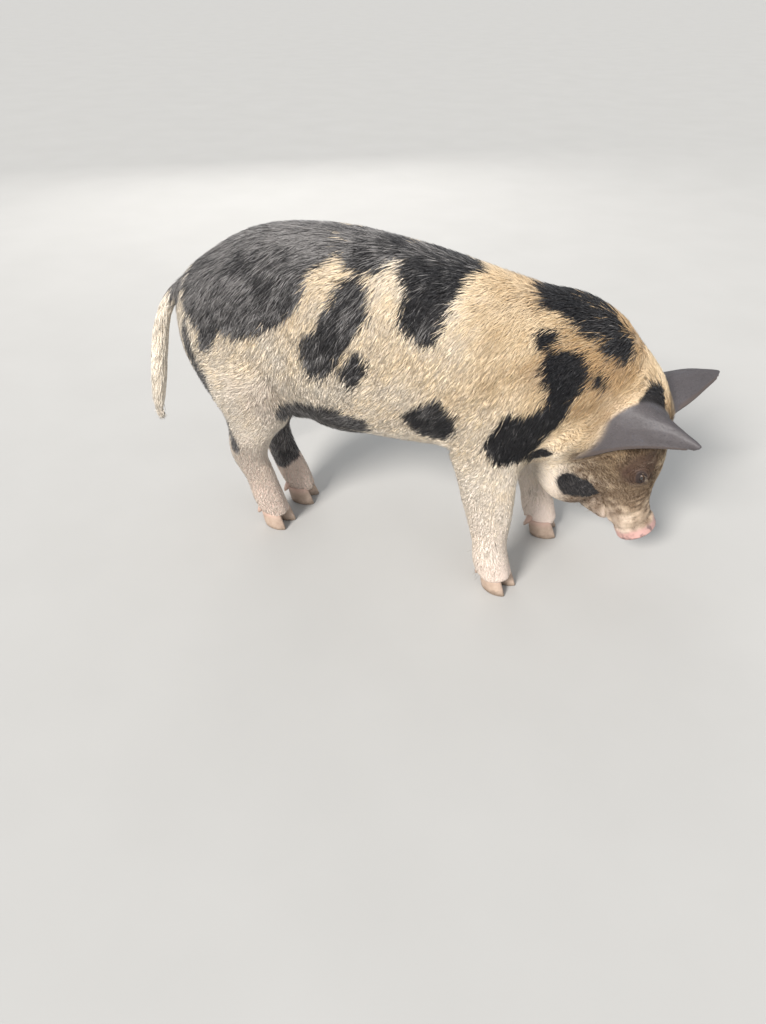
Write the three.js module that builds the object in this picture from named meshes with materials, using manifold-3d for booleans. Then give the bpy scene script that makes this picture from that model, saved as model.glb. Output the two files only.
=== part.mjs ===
// A kunekune pig, life size, standing with its head lowered to feed.
//
// Millimetres. +X is the way the pig faces, +Y its left side, +Z up. The floor is Z = 0, and the origin is
// the middle of the animal's bounding box at floor level.
//
// The flesh is one smooth shape: tapered limbs that follow splines, and eggs for the muscle masses, blended
// where they meet. A net is laid over that shape for each node, as fine as the node needs, and the solids
// under the nets are parted along the planes named below. They reach to the tips of the coat.

import * as THREE from "three";
import { ConvexGeometry } from "three/addons/geometries/ConvexGeometry.js";
import { mergeVertices } from "three/addons/utils/BufferGeometryUtils.js";
import Module from "manifold-3d";

const wasm = await Module();
wasm.setup();

const GAP = 0.4; // between neighbouring solids

// The trunk and neck, from the root of the tail to the nape. Each station is the middle of a cross-section,
// then its half width, its height above the middle and its depth below it.
const TRUNK = [
  [-398, 0, 478, 38, 40, 62],
  [-340, 0, 462, 98, 106, 116],
  [-250, 0, 446, 135, 176, 150],
  [-130, 0, 440, 153, 194, 176],
  [0, 0, 430, 159, 186, 176],
  [120, 0, 412, 149, 177, 157],
  [220, 4, 395, 132, 170, 141],
  [265, 11, 385, 121, 174, 130],
  [310, 20, 374, 108, 161, 118],
  [378, 38, 352, 90, 107, 96],
];

// Legs, from inside the trunk down to the pastern. Each station is the middle of a cross-section, then its
// half width across the body, its reach to the front and its reach to the back.
const LEGS = {
  foreleg_right: [
    [196, -84, 390, 44, 70, 74],
    [190, -98, 300, 45, 56, 70],
    [194, -107, 232, 39, 53, 56],
    [202, -109, 170, 34, 44, 45],
    [207, -110, 112, 30, 34, 34],
    [213, -110, 68, 31, 35, 35],
    [226, -106, 36, 28, 29, 31],
  ],
  foreleg_left: [
    [200, 84, 390, 44, 70, 74],
    [204, 98, 300, 45, 56, 68],
    [228, 103, 232, 38, 50, 52],
    [249, 104, 170, 33, 42, 42],
    [262, 104, 112, 29, 33, 33],
    [273, 103, 68, 30, 34, 34],
    [287, 102, 36, 28, 29, 31],
  ],
  hindleg_right: [
    [-286, -68, 440, 56, 92, 90],
    [-262, -84, 340, 54, 92, 84],
    [-272, -80, 262, 42, 48, 55],
    [-294, -64, 190, 31, 38, 42],
    [-284, -50, 128, 26, 34, 33],
    [-275, -40, 72, 28, 34, 34],
    [-262, -34, 37, 27, 28, 30],
  ],
  hindleg_left: [
    [-286, 68, 440, 56, 92, 90],
    [-258, 84, 340, 54, 92, 84],
    [-273, 82, 262, 42, 47, 54],
    [-304, 76, 190, 31, 38, 40],
    [-288, 72, 128, 26, 34, 33],
    [-262, 70, 72, 28, 34, 34],
    [-244, 69, 37, 27, 28, 30],
  ],
};
const LEG_BLEND = 46;
const KNEE = 158; // where a foreleg is parted
const HOCK = 176; // where a hind leg is parted
const LEG_TOP = { fore: 305, hind: 335 };

// The tail hangs from the top of the rump and ends in a tassel.
const TAIL = [
  [-392, 0, 500, 22, 22, 22],
  [-436, 0, 488, 18, 18, 18],
  [-469, 0, 452, 17, 17, 17],
  [-491, 0, 404, 19, 19, 19],
  [-505, 0, 350, 20, 20, 20],
  [-516, -1, 296, 20, 19, 19],
  [-524, -2, 246, 15, 15, 15],
  [-526, -3, 208, 5, 5, 5],
];

// Muscle masses on both sides of the body, then the chest and the sheath under the belly: middle, then half
// length, half width and half height.
const MASSES = [
  { at: [182, 78, 400], size: [84, 50, 118], blend: 50 },
  { at: [-288, 66, 430], size: [92, 62, 112], blend: 60 },
  { at: [222, 0, 302], size: [74, 70, 54], blend: 60 },
  { at: [-108, 0, 276], size: [86, 40, 38], blend: 34 },
];

// The head hangs from the end of the neck. Its own frame has +X towards the snout, +Y to its left and +Z
// out of the forehead, from the middle of the brain case.
const HEAD = { at: [410, 52, 340], yaw: -3, pitch: 74, roll: 8 };
const SKULL = [
  [-42, 0, -12, 84, 48, 92],
  [22, 0, 0, 90, 67, 110],
  [90, 0, 0, 79, 60, 102],
  [144, 0, -12, 60, 48, 70],
  [196, 0, -20, 48, 40, 42],
  [238, 0, -18, 43, 37, 37],
];
const JAW = [
  [50, 0, -98, 60, 34, 44],
  [110, 0, -100, 56, 36, 52],
  [168, 0, -86, 43, 28, 42],
  [214, 0, -70, 28, 18, 20],
];
const JOWL = { at: [78, 50, -112], size: [96, 44, 70], blend: 40 };
const SNOUT = { at: 248, rise: -14, halfWidth: 41, halfHeight: 37, depth: 17, tilt: 10 };
const NOSTRIL = { radius: 8, apart: 17 };
const EYE = { at: [102, 60, 24], radius: 12 };

// An ear is a cupped leaf. Its root runs over the side of the skull from the outer end to the inner end by
// way of the back, and its leaf narrows to the tip. The two edges swell by parts of half the root's width,
// and the outer one arches. All points are in the head's frame, as for the left ear.
const EARS = {
  ear_right: {
    side: -1,
    outer: [37, 99, -70],
    back: [-120, 138, 70],
    inner: [8, 26, 72],
    tip: [14, 126, 146],
    swell: [0.12, -0.08],
  },
  ear_left: {
    side: 1,
    outer: [36, 90, -58],
    back: [-70, 108, 46],
    inner: [26, 34, 72],
    tip: [15, 170, 130],
    swell: [0.2, 0.05],
  },
};
const EAR_LEAF = { sunk: 0.2, taper: 0.93, arch: 13, thickness: 9, edge: 3.2, along: 8, across: 6 };

// Each foot has two claws in front and two dewclaws behind. The sole's middle is given, and the way that the
// foot points.
const FEET = {
  foreleg_right: { at: [232, -102], turn: -22 },
  foreleg_left: { at: [293, 102], turn: 6 },
  hindleg_right: { at: [-257, -32], turn: -10 },
  hindleg_left: { at: [-239, 70], turn: 4 },
};
const CLAW = { length: 54, width: 25, height: 46, gap: 3, splay: 7, lean: 15, corners: 10 };
const DEWCLAW = { width: 16, back: 33, apart: 19, top: 58, low: 22, corners: 6 };
const CORONET = { height: 31, slope: 14 };

// Where the solids are parted: a point of each plane and the way that counts as beyond it.
const AT_NECK = { at: [262, 0, 380], normal: [1, 0, 0.16] };
const AT_NAPE = { at: [-52, 0, 55], normal: [0.95, 0, 0.31] }; // in the head's frame
const AT_THROAT = { at: [285, 0, 250], normal: [0.98, 0, 0.19] };
const AT_MOUTH = { at: [150, 0, -54], normal: [-0.08, 0, -1] }; // in the head's frame
const AT_MOUTH_CORNER = { at: [150, 0, 0], normal: [1, 0, 0] }; // in the head's frame

// The nets: two corners of the box that each is laid in, and the size of its cells. A leg's box is given
// for the left side.
const NETS = {
  body: { low: [-500, -220, 120], high: [360, 240, 680], cell: [44, 35, 36] },
  neck: { low: [180, -200, 150], high: [540, 250, 620], cell: [29, 27, 27] },
  tail: { low: [-591, -48, 150], high: [-368, 48, 560], cell: [13, 13, 23] },
  foreleg: { low: [45, 10, -20], high: [370, 200, 430], cell: [22, 21, 28] },
  hindleg: { low: [-455, -40, -20], high: [-115, 200, 430], cell: [22, 21, 28] },
  head: { low: [220, -180, 20], high: [620, 290, 520], cell: [20, 20, 20] },
};

const radians = THREE.MathUtils.degToRad;
const UP = new THREE.Vector3(0, 0, 1);
const FRONT = new THREE.Vector3(1, 0, 0);

// Distance from an egg with half sizes a, b and c: near enough, and negative inside.
function eggDistance(x, y, z, a, b, c) {
  const level = Math.hypot(x / a, y / b, z / c);
  const slope = Math.hypot(x / (a * a), y / (b * b), z / (c * c));
  return slope < 1e-9 ? -Math.min(a, b, c) : (level * (level - 1)) / slope;
}

// The smaller of two distances, with the corner between them rounded over.
function blended(a, b, width) {
  const share = Math.max(width - Math.abs(a - b), 0) / width;
  return Math.min(a, b) - (share * share * width) / 4;
}

// A limb follows a spline through its stations. Its cross-sections are ellipses whose upper and lower
// halves differ. "over" is the way that counts as above: up for the trunk, to the front for a leg.
function limb(stations, over, stepsPerSpan = 4) {
  const spline = (from) => {
    const points = stations.map((s) => new THREE.Vector3(s[from], s[from + 1], s[from + 2]));
    return new THREE.CatmullRomCurve3(points, false, "catmullrom");
  };
  const line = spline(0);
  const sizes = spline(3);
  const steps = (stations.length - 1) * stepsPerSpan;
  const spans = [];
  for (let i = 0; i < steps; i++) {
    const from = line.getPoint(i / steps);
    const to = line.getPoint((i + 1) / steps);
    const along = to.clone().sub(from).normalize();
    const side = over.clone().cross(along).normalize();
    const above = along.clone().cross(side);
    const length = from.distanceTo(to);
    const start = sizes.getPoint(i / steps);
    const end = sizes.getPoint((i + 1) / steps);
    spans.push({ from, length, along, side, above, start, end });
  }
  return (x, y, z) => {
    let nearest = Infinity;
    for (const s of spans) {
      const dx = x - s.from.x;
      const dy = y - s.from.y;
      const dz = z - s.from.z;
      const reach = dx * s.along.x + dy * s.along.y + dz * s.along.z;
      const t = Math.min(Math.max(reach / s.length, 0), 1);
      const beyond = reach - t * s.length;
      const out = dx * s.side.x + dy * s.side.y + dz * s.side.z;
      const up = dx * s.above.x + dy * s.above.y + dz * s.above.z;
      const width = s.start.x + (s.end.x - s.start.x) * t;
      const [first, last] = up > 0 ? [s.start.y, s.end.y] : [s.start.z, s.end.z];
      const tall = first + (last - first) * t;
      nearest = Math.min(nearest, eggDistance(beyond, out, up, Math.min(width, tall), width, tall));
    }
    return nearest;
  };
}

function pairOfEggs({ at, size }) {
  return (x, y, z) => eggDistance(x - at[0], Math.abs(y) - at[1], z - at[2], size[0], size[1], size[2]);
}

function joined(parts) {
  return (x, y, z) => {
    let d = Infinity;
    for (const { shape, blend } of parts)
      d = d === Infinity ? shape(x, y, z) : blended(d, shape(x, y, z), blend);
    return d;
  };
}

// The head's frame in the pig's, and shapes given in it.
const headFrame = new THREE.Matrix4()
  .makeRotationFromEuler(new THREE.Euler(radians(HEAD.roll), radians(HEAD.pitch), radians(HEAD.yaw), "ZYX"))
  .setPosition(...HEAD.at);
const toHead = headFrame.clone().invert().elements;

function inHead(shape) {
  const m = toHead;
  return (x, y, z) =>
    shape(
      m[0] * x + m[4] * y + m[8] * z + m[12],
      m[1] * x + m[5] * y + m[9] * z + m[13],
      m[2] * x + m[6] * y + m[10] * z + m[14],
    );
}

const trunkParts = [
  { shape: limb(TRUNK, UP) },
  ...MASSES.map((mass) => ({ shape: pairOfEggs(mass), blend: mass.blend })),
];
const legPart = (stations) => ({ shape: limb(stations, FRONT), blend: LEG_BLEND });
const skull = joined([{ shape: limb(SKULL, UP) }, { shape: pairOfEggs(JOWL), blend: JOWL.blend }]);
const headParts = [
  { shape: inHead(skull), blend: 55 },
  { shape: inHead(limb(JAW, UP)), blend: 16 },
];
const flesh = joined([...trunkParts, ...Object.values(LEGS).map(legPart), ...headParts]);
const tail = limb(TAIL, FRONT);

// A point moved onto a level of a distance along the steepest way, by no more than the reach given.
function pulledOn(distance, [x, y, z], level, reach) {
  const e = 0.5;
  const slope = new THREE.Vector3(
    distance(x + e, y, z) - distance(x - e, y, z),
    distance(x, y + e, z) - distance(x, y - e, z),
    distance(x, y, z + e) - distance(x, y, z - e),
  ).divideScalar(2 * e);
  const step = slope.clone().multiplyScalar((level - distance(x, y, z)) / Math.max(slope.lengthSq(), 0.25));
  step.clampLength(0, reach);
  return [x + step.x, y + step.y, z + step.z];
}

// Lays a net over a shape inside a box: one corner in each cell of the grid that the surface passes
// through, pulled onto the surface, and one four-sided mesh for each edge of the grid that it crosses.
function netOver(shape, { low, high, cell }) {
  const distance = (x, y, z) =>
    Math.max(
      shape(x, y, z),
      low[0] + 1.2 * cell[0] - x,
      x - high[0] + 1.2 * cell[0],
      low[1] + 1.2 * cell[1] - y,
      y - high[1] + 1.2 * cell[1],
      low[2] + 1.2 * cell[2] - z,
      z - high[2] + 1.2 * cell[2],
    );
  const count = [0, 1, 2].map((i) => Math.ceil((high[i] - low[i]) / cell[i]) + 1);
  const index = (i, j, k) => (k * count[1] + j) * count[0] + i;
  const level = new Float64Array(count[0] * count[1] * count[2]);
  for (let k = 0; k < count[2]; k++)
    for (let j = 0; j < count[1]; j++)
      for (let i = 0; i < count[0]; i++)
        level[index(i, j, k)] = distance(low[0] + i * cell[0], low[1] + j * cell[1], low[2] + k * cell[2]);
  unpinch(level, count, index);

  const corners = new Map();
  const positions = [];
  for (let k = 0; k + 1 < count[2]; k++)
    for (let j = 0; j + 1 < count[1]; j++)
      for (let i = 0; i + 1 < count[0]; i++) {
        const sum = [0, 0, 0];
        let crossings = 0;
        for (let axis = 0; axis < 3; axis++)
          for (let edge = 0; edge < 4; edge++) {
            const from = [i, j, k];
            from[(axis + 1) % 3] += edge & 1;
            from[(axis + 2) % 3] += edge >> 1;
            const to = [...from];
            to[axis] += 1;
            const d0 = level[index(...from)];
            const d1 = level[index(...to)];
            if (d0 < 0 === d1 < 0) continue;
            from[axis] += d0 / (d0 - d1);
            from.forEach((value, c) => (sum[c] += value));
            crossings += 1;
          }
        if (!crossings) continue;
        corners.set(index(i, j, k), positions.length / 3);
        const middle = sum.map((s, c) => low[c] + (s / crossings) * cell[c]);
        positions.push(...pulledOn(distance, middle, 0, Math.min(...cell) / 2));
      }

  const round = [
    [0, 0],
    [1, 0],
    [1, 1],
    [0, 1],
  ];
  const faces = [];
  for (let k = 1; k + 1 < count[2]; k++)
    for (let j = 1; j + 1 < count[1]; j++)
      for (let i = 1; i + 1 < count[0]; i++)
        for (let axis = 0; axis < 3; axis++) {
          const to = [i, j, k];
          to[axis] += 1;
          const inside = level[index(i, j, k)] < 0;
          if (inside === level[index(...to)] < 0) continue;
          const ring = round.map(([a, b]) => {
            const at = [i, j, k];
            at[(axis + 1) % 3] -= a;
            at[(axis + 2) % 3] -= b;
            return corners.get(index(...at));
          });
          if (!inside) ring.reverse();
          faces.push(ring[0], ring[1], ring[2], ring[0], ring[2], ring[3]);
        }
  return new THREE.BufferGeometry()
    .setAttribute("position", new THREE.Float32BufferAttribute(positions, 3))
    .setIndex(faces);
}

// Where the corners of a grid face are inside and outside by turns, the net would pinch, so the corner that
// is nearest the surface changes sides.
function unpinch(level, count, index) {
  for (let pinched = true; pinched; ) {
    pinched = false;
    for (let k = 0; k + 1 < count[2]; k++)
      for (let j = 0; j + 1 < count[1]; j++)
        for (let i = 0; i + 1 < count[0]; i++)
          for (let axis = 0; axis < 3; axis++) {
            const corner = (a, b) => {
              const at = [i, j, k];
              at[(axis + 1) % 3] += a;
              at[(axis + 2) % 3] += b;
              return index(...at);
            };
            const ring = [corner(0, 0), corner(1, 0), corner(1, 1), corner(0, 1)];
            const [a, b, c, d] = ring.map((n) => level[n] < 0);
            if (a === b || a !== c || b !== d) continue;
            const nearer = (best, n) => (Math.abs(level[n]) < Math.abs(level[best]) ? n : best);
            const weakest = ring.reduce(nearer);
            level[weakest] = level[weakest] < 0 ? 1e-3 : -1e-3;
            pinched = true;
          }
  }
}

// The same net moved out from the surface by the gap.
function grown(net, shape) {
  const p = net.attributes.position;
  const positions = [];
  for (let i = 0; i < p.count; i++)
    positions.push(...pulledOn(shape, [p.getX(i), p.getY(i), p.getZ(i)], GAP * 1.5, GAP * 3));
  return new THREE.BufferGeometry()
    .setAttribute("position", new THREE.Float32BufferAttribute(positions, 3))
    .setIndex(net.index);
}

// Between a geometry and a solid that can be cut.
function solidOf(geometry) {
  const bare = new THREE.BufferGeometry().setAttribute("position", geometry.attributes.position);
  const welded = mergeVertices(bare.setIndex(geometry.index), 1e-4);
  return new wasm.Manifold(
    new wasm.Mesh({
      numProp: 3,
      vertProperties: new Float32Array(welded.attributes.position.array),
      triVerts: new Uint32Array(welded.index.array),
    }),
  );
}

// A solid's surface, with corners that all but touch made one and the slivers between them left out.
function geometryOf(solid) {
  const mesh = solid.getMesh();
  const welded = mergeVertices(
    new THREE.BufferGeometry()
      .setAttribute("position", new THREE.BufferAttribute(mesh.vertProperties, 3))
      .setIndex(new THREE.BufferAttribute(mesh.triVerts, 1)),
    1e-6,
  );
  const faces = [];
  const corners = welded.index.array;
  for (let f = 0; f < corners.length; f += 3) {
    const [a, b, c] = corners.slice(f, f + 3);
    if (a !== b && b !== c && c !== a) faces.push(a, b, c);
  }
  return welded.setIndex(faces);
}

// The part of space beyond all of the planes given, drawn in by an inset.
function region(planes, inset) {
  const far = 2000;
  const blocks = planes.map(({ at, normal, frame = new THREE.Matrix4() }) => {
    const way = new THREE.Vector3(...normal).normalize();
    return solidOf(
      new THREE.BoxGeometry(far, far, far)
        .translate(0, 0, far / 2 + inset)
        .applyQuaternion(new THREE.Quaternion().setFromUnitVectors(UP, way))
        .translate(...at)
        .applyMatrix4(frame),
    );
  });
  return blocks.reduce((kept, block) => kept.intersect(block));
}
const inside = (planes) => region(planes, GAP / 2);
const outside = (planes) => region(planes, -GAP / 2);
const turned = (plane) => ({ ...plane, normal: plane.normal.map((n) => -n) });

const material = (color, roughness) => new THREE.MeshStandardMaterial({ color, roughness, metalness: 0 });
const COAT = material(0xd8b98a, 0.8);
const FACE = material(0xb08c62, 0.75);
const EAR_SKIN = material(0x4a4145, 0.55);
const SNOUT_SKIN = material(0xc98f86, 0.5);
const TASSEL = material(0xd9cdb6, 0.8);
const HOOF = material(0xb99a8c, 0.5);
const EYE_GLOSS = material(0x241712, 0.1);

const pig = new THREE.Group();

function add(name, solid, look) {
  const mesh = new THREE.Mesh(geometryOf(solid), look.clone());
  mesh.name = name;
  pig.add(mesh);
}

// Regions of the body
const nape = { ...AT_NAPE, frame: headFrame };
const mouth = { ...AT_MOUTH, frame: headFrame };
const mouthCorner = { ...AT_MOUTH_CORNER, frame: headFrame };
const headRegion = [nape, AT_THROAT];
const jawRegion = [mouth, mouthCorner];
const legRegion = (name) => {
  const side = name.endsWith("right") ? -1 : 1;
  return name.startsWith("fore")
    ? [
        { at: [0, 0, LEG_TOP.fore + 50], normal: [-0.25, 0, -1] },
        { at: [0, side * 46, 0], normal: [0, side, 0] },
        { at: [100, 0, 250], normal: [1, 0, 0.12] },
        turned(AT_THROAT),
      ]
    : [
        { at: [-260, 0, LEG_TOP.hind], normal: [0.35, 0, -1] },
        { at: [0, 0, 0], normal: [0, side, 0] },
        { at: [-172, 0, 250], normal: [-1, 0, 0.25] },
      ];
};

// Trunk and neck
const bodyNet = netOver(flesh, NETS.body);
let trunk = solidOf(bodyNet).intersect(inside([turned(AT_NECK)]));
let neck = solidOf(netOver(flesh, NETS.neck)).intersect(inside([AT_NECK])).subtract(outside(headRegion));
for (const name of Object.keys(LEGS)) {
  trunk = trunk.subtract(outside(legRegion(name)));
  neck = neck.subtract(outside(legRegion(name)));
}
add("trunk", trunk, COAT);
add("neck", neck, COAT);

// Tail
add("tail", solidOf(netOver(tail, NETS.tail)).subtract(solidOf(grown(bodyNet, flesh))), TASSEL);

// Legs and feet
for (const name of Object.keys(LEGS)) {
  const [kind, sideName] = name.split("_");
  const side = sideName === "right" ? -1 : 1;
  const { low, high, cell } = NETS[kind];
  const [near, far] = side > 0 ? [low[1], high[1]] : [-high[1], -low[1]];
  const net = netOver(flesh, { low: [low[0], near, low[2]], high: [high[0], far, high[2]], cell });
  const leg = solidOf(net).intersect(inside(legRegion(name)));
  const joint = { at: [0, 0, kind === "foreleg" ? KNEE : HOCK], normal: [0, 0, 1] };
  const foot = footFrame(name);
  const slope = Math.sin(radians(CORONET.slope));
  const coronet = { at: [0, 0, CORONET.height], normal: [-slope, 0, 1], frame: foot };
  add(kind === "foreleg" ? `upper_${name}` : `thigh_${sideName}`, leg.intersect(inside([joint])), COAT);
  add(`lower_${name}`, leg.intersect(inside([turned(joint), coronet])), COAT);

  for (const half of ["inner", "outer"]) {
    const way = (half === "outer" ? 1 : -1) * side;
    add(`claw_${half}_${name}`, claw(foot, way).intersect(inside([turned(coronet)])), HOOF);
    add(`dewclaw_${half}_${name}`, dewclaw(foot, way).subtract(solidOf(grown(net, flesh))), HOOF);
  }
}

// Where a foot stands and the way it points.
function footFrame(name) {
  const { at, turn } = FEET[name];
  return new THREE.Matrix4().makeRotationZ(radians(turn)).setPosition(at[0], at[1], 0);
}

// One claw: a pointed flat sole, and walls that lean back from the toe.
function claw(foot, way) {
  const points = [];
  for (let i = 0; i < CLAW.corners; i++) {
    const angle = (i / CLAW.corners) * 2 * Math.PI;
    const forward = Math.cos(angle) * CLAW.length * 0.5;
    const narrow = forward > 0 ? 1 - 0.35 * (forward / (CLAW.length * 0.5)) ** 2 : 1;
    const across = Math.sin(angle) * CLAW.width * 0.5 * narrow;
    points.push(new THREE.Vector3(forward, across, 0));
    points.push(new THREE.Vector3(forward * 1.02 - 1, across * 1.1, 7));
    points.push(new THREE.Vector3(forward * 0.82 - CLAW.lean, across * 1.02, CLAW.height));
  }
  return solidOf(
    new ConvexGeometry(points)
      .translate(CLAW.length / 2, 0, 0)
      .rotateZ(radians(CLAW.splay * way))
      .translate(-CLAW.length / 2, (way * (CLAW.width + CLAW.gap)) / 2, 0)
      .applyMatrix4(foot),
  );
}

// A dewclaw hangs behind the pastern, clear of the floor.
function dewclaw(foot, way) {
  const points = [];
  for (let i = 0; i < DEWCLAW.corners; i++) {
    const angle = (i / DEWCLAW.corners) * 2 * Math.PI;
    const c = Math.cos(angle);
    const s = Math.sin(angle);
    points.push(new THREE.Vector3(9 + c * 12, s * DEWCLAW.width * 0.5, DEWCLAW.top + c * 4));
    points.push(new THREE.Vector3(-7 + c * 6, s * DEWCLAW.width * 0.36, DEWCLAW.low + 6 + c * 3));
  }
  points.push(new THREE.Vector3(-9, 0, DEWCLAW.low));
  return solidOf(
    new ConvexGeometry(points)
      .rotateZ(radians(10 * way))
      .translate(-DEWCLAW.back, way * DEWCLAW.apart, 0)
      .applyMatrix4(foot),
  );
}

// Head, jaw and eyes
const headNet = netOver(flesh, NETS.head);
const muzzleEnd = {
  at: [SNOUT.at, 0, SNOUT.rise],
  normal: [1, 0, Math.sin(radians(SNOUT.tilt))],
  frame: headFrame,
};
const head = solidOf(headNet).intersect(inside([...headRegion, turned(muzzleEnd)]));
const ball = (side, radius) => {
  const middle = new THREE.Vector3(EYE.at[0], EYE.at[1] * side, EYE.at[2]).applyMatrix4(headFrame);
  return solidOf(new THREE.SphereGeometry(radius, 12, 8).translate(...middle.toArray()));
};
const sockets = ball(1, EYE.radius + GAP).add(ball(-1, EYE.radius + GAP));
add("head", head.subtract(outside(jawRegion)).subtract(sockets), FACE);
add("jaw", head.intersect(inside(jawRegion)), FACE);
add("eye_right", ball(-1, EYE.radius), EYE_GLOSS);
add("eye_left", ball(1, EYE.radius), EYE_GLOSS);

// The snout's disc, from its middle out: parts of the radius and of the depth
const snoutProfile = [
  [0, 0],
  [0.97, 0],
  [1.06, 0.3],
  [1.06, 0.75],
  [0.97, 1],
  [0, 1],
];
const disc = new THREE.LatheGeometry(
  snoutProfile.map(([r, d]) => new THREE.Vector2(r, d * SNOUT.depth)),
  24,
)
  .scale(SNOUT.halfWidth, 1, SNOUT.halfHeight)
  .rotateZ(-Math.PI / 2)
  .rotateX(Math.PI / 2);
const placeSnout = (geometry) =>
  geometry
    .rotateY(-radians(SNOUT.tilt))
    .translate(SNOUT.at + GAP, 0, SNOUT.rise)
    .applyMatrix4(headFrame);
let snout = solidOf(placeSnout(disc));
for (const side of [-1, 1]) {
  const nostril = new THREE.CylinderGeometry(NOSTRIL.radius, NOSTRIL.radius * 0.7, SNOUT.depth, 12)
    .rotateZ(-Math.PI / 2)
    .translate(SNOUT.depth * 0.9, side * NOSTRIL.apart, 0);
  snout = snout.subtract(solidOf(placeSnout(nostril)));
}
add("snout", snout, SNOUT_SKIN);

// Ears
const headGrown = solidOf(grown(headNet, flesh));
for (const [name, ear] of Object.entries(EARS)) add(name, solidOf(leaf(ear)).subtract(headGrown), EAR_SKIN);

// A cupped leaf that thins towards its rim.
function leaf({ side, outer, back, inner, tip, swell }) {
  const point = (p) => new THREE.Vector3(p[0], p[1] * side, p[2]);
  const [from, middle, to, end] = [outer, back, inner, tip].map(point);
  const root = new THREE.QuadraticBezierCurve3(from, middle, to);
  const width = to.clone().sub(from).multiplyScalar(0.5);
  const sheet = (u, v) => {
    const at = end.clone().lerp(root.getPoint((v + 1) / 2), 1 - u * EAR_LEAF.taper);
    const bulge = Math.sin(Math.PI * Math.max(u, 0) ** 0.8);
    at.addScaledVector(width, v * swell[v > 0 ? 1 : 0] * bulge);
    at.x -= EAR_LEAF.arch * Math.sin(Math.PI * Math.max(u, 0) ** 1.4) * (1 - v) / 2;
    return at;
  };
  const { along, across, thickness, edge, sunk } = EAR_LEAF;
  const positions = [[], []];
  for (let i = 0; i <= along; i++)
    for (let j = 0; j <= across; j++) {
      const u = -sunk + ((1 + sunk) * i) / along;
      const v = -1 + (2 * j) / across;
      const at = sheet(u, v);
      const du = sheet(u + 0.01, v).sub(sheet(u - 0.01, v));
      const dv = sheet(u, Math.min(v + 0.02, 1)).sub(sheet(u, Math.max(v - 0.02, -1)));
      const normal = du.cross(dv).normalize().multiplyScalar(side);
      const thick = edge + (thickness - edge) * (1 - Math.max(u, 0)) * (1 - v * v);
      positions[0].push(at.clone().addScaledVector(normal, thick / 2));
      positions[1].push(at.clone().addScaledVector(normal, -thick / 2));
    }
  const sheetSize = positions[0].length;
  const at = (layer, i, j) => layer * sheetSize + i * (across + 1) + j;
  const faces = [];
  const quad = (a, b, c, d) => faces.push(a, b, c, a, c, d);
  for (let i = 0; i < along; i++)
    for (let j = 0; j < across; j++) {
      quad(at(0, i, j), at(0, i, j + 1), at(0, i + 1, j + 1), at(0, i + 1, j));
      quad(at(1, i, j), at(1, i + 1, j), at(1, i + 1, j + 1), at(1, i, j + 1));
    }
  for (let i = 0; i < along; i++) {
    quad(at(0, i, 0), at(0, i + 1, 0), at(1, i + 1, 0), at(1, i, 0));
    quad(at(0, i + 1, across), at(0, i, across), at(1, i, across), at(1, i + 1, across));
  }
  for (let j = 0; j < across; j++) {
    quad(at(0, 0, j + 1), at(0, 0, j), at(1, 0, j), at(1, 0, j + 1));
    quad(at(0, along, j), at(0, along, j + 1), at(1, along, j + 1), at(1, along, j));
  }
  if (side > 0)
    for (let f = 0; f < faces.length; f += 3) [faces[f], faces[f + 1]] = [faces[f + 1], faces[f]];
  const numbers = positions.flat().flatMap((p) => p.toArray());
  return new THREE.BufferGeometry()
    .setAttribute("position", new THREE.Float32BufferAttribute(numbers, 3))
    .setIndex(faces)
    .applyMatrix4(headFrame);
}

// The origin goes to the middle of the bounding box, at floor level.
const box = new THREE.Box3().setFromObject(pig);
for (const mesh of pig.children)
  mesh.geometry.translate(-(box.min.x + box.max.x) / 2, -(box.min.y + box.max.y) / 2, 0);

export default pig;
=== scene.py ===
import itertools

import bmesh
import bpy
import numpy as np
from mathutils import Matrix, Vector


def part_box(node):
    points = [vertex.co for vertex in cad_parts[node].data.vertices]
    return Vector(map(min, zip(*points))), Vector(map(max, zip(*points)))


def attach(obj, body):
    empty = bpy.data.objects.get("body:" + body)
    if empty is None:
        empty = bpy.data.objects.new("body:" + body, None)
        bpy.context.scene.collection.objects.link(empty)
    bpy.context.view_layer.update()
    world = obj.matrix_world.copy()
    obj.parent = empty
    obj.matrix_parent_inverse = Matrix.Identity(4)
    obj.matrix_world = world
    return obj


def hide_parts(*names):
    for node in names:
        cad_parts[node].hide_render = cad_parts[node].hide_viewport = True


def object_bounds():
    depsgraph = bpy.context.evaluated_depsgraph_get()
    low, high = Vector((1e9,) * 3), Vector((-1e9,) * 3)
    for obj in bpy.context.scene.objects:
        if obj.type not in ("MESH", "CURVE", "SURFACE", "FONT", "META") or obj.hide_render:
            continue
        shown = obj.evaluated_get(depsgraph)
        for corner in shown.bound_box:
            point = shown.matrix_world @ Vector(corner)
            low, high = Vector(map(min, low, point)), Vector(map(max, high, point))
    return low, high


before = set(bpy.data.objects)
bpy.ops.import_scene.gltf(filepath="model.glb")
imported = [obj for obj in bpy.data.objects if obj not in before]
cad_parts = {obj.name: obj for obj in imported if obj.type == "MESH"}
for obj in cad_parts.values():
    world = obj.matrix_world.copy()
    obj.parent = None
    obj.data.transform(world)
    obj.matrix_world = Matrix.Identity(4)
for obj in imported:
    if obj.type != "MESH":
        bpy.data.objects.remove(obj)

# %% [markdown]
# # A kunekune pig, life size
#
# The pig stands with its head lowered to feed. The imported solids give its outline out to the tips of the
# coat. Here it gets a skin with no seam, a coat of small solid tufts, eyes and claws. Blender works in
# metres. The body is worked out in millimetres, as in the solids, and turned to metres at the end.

import openvdb
from mathutils import Euler, Matrix, Vector, kdtree

cad_box = [list(corner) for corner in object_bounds()]
chance = np.random.default_rng(1206)
print("The solids' box:", np.round(cad_box, 4).tolist())

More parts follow.
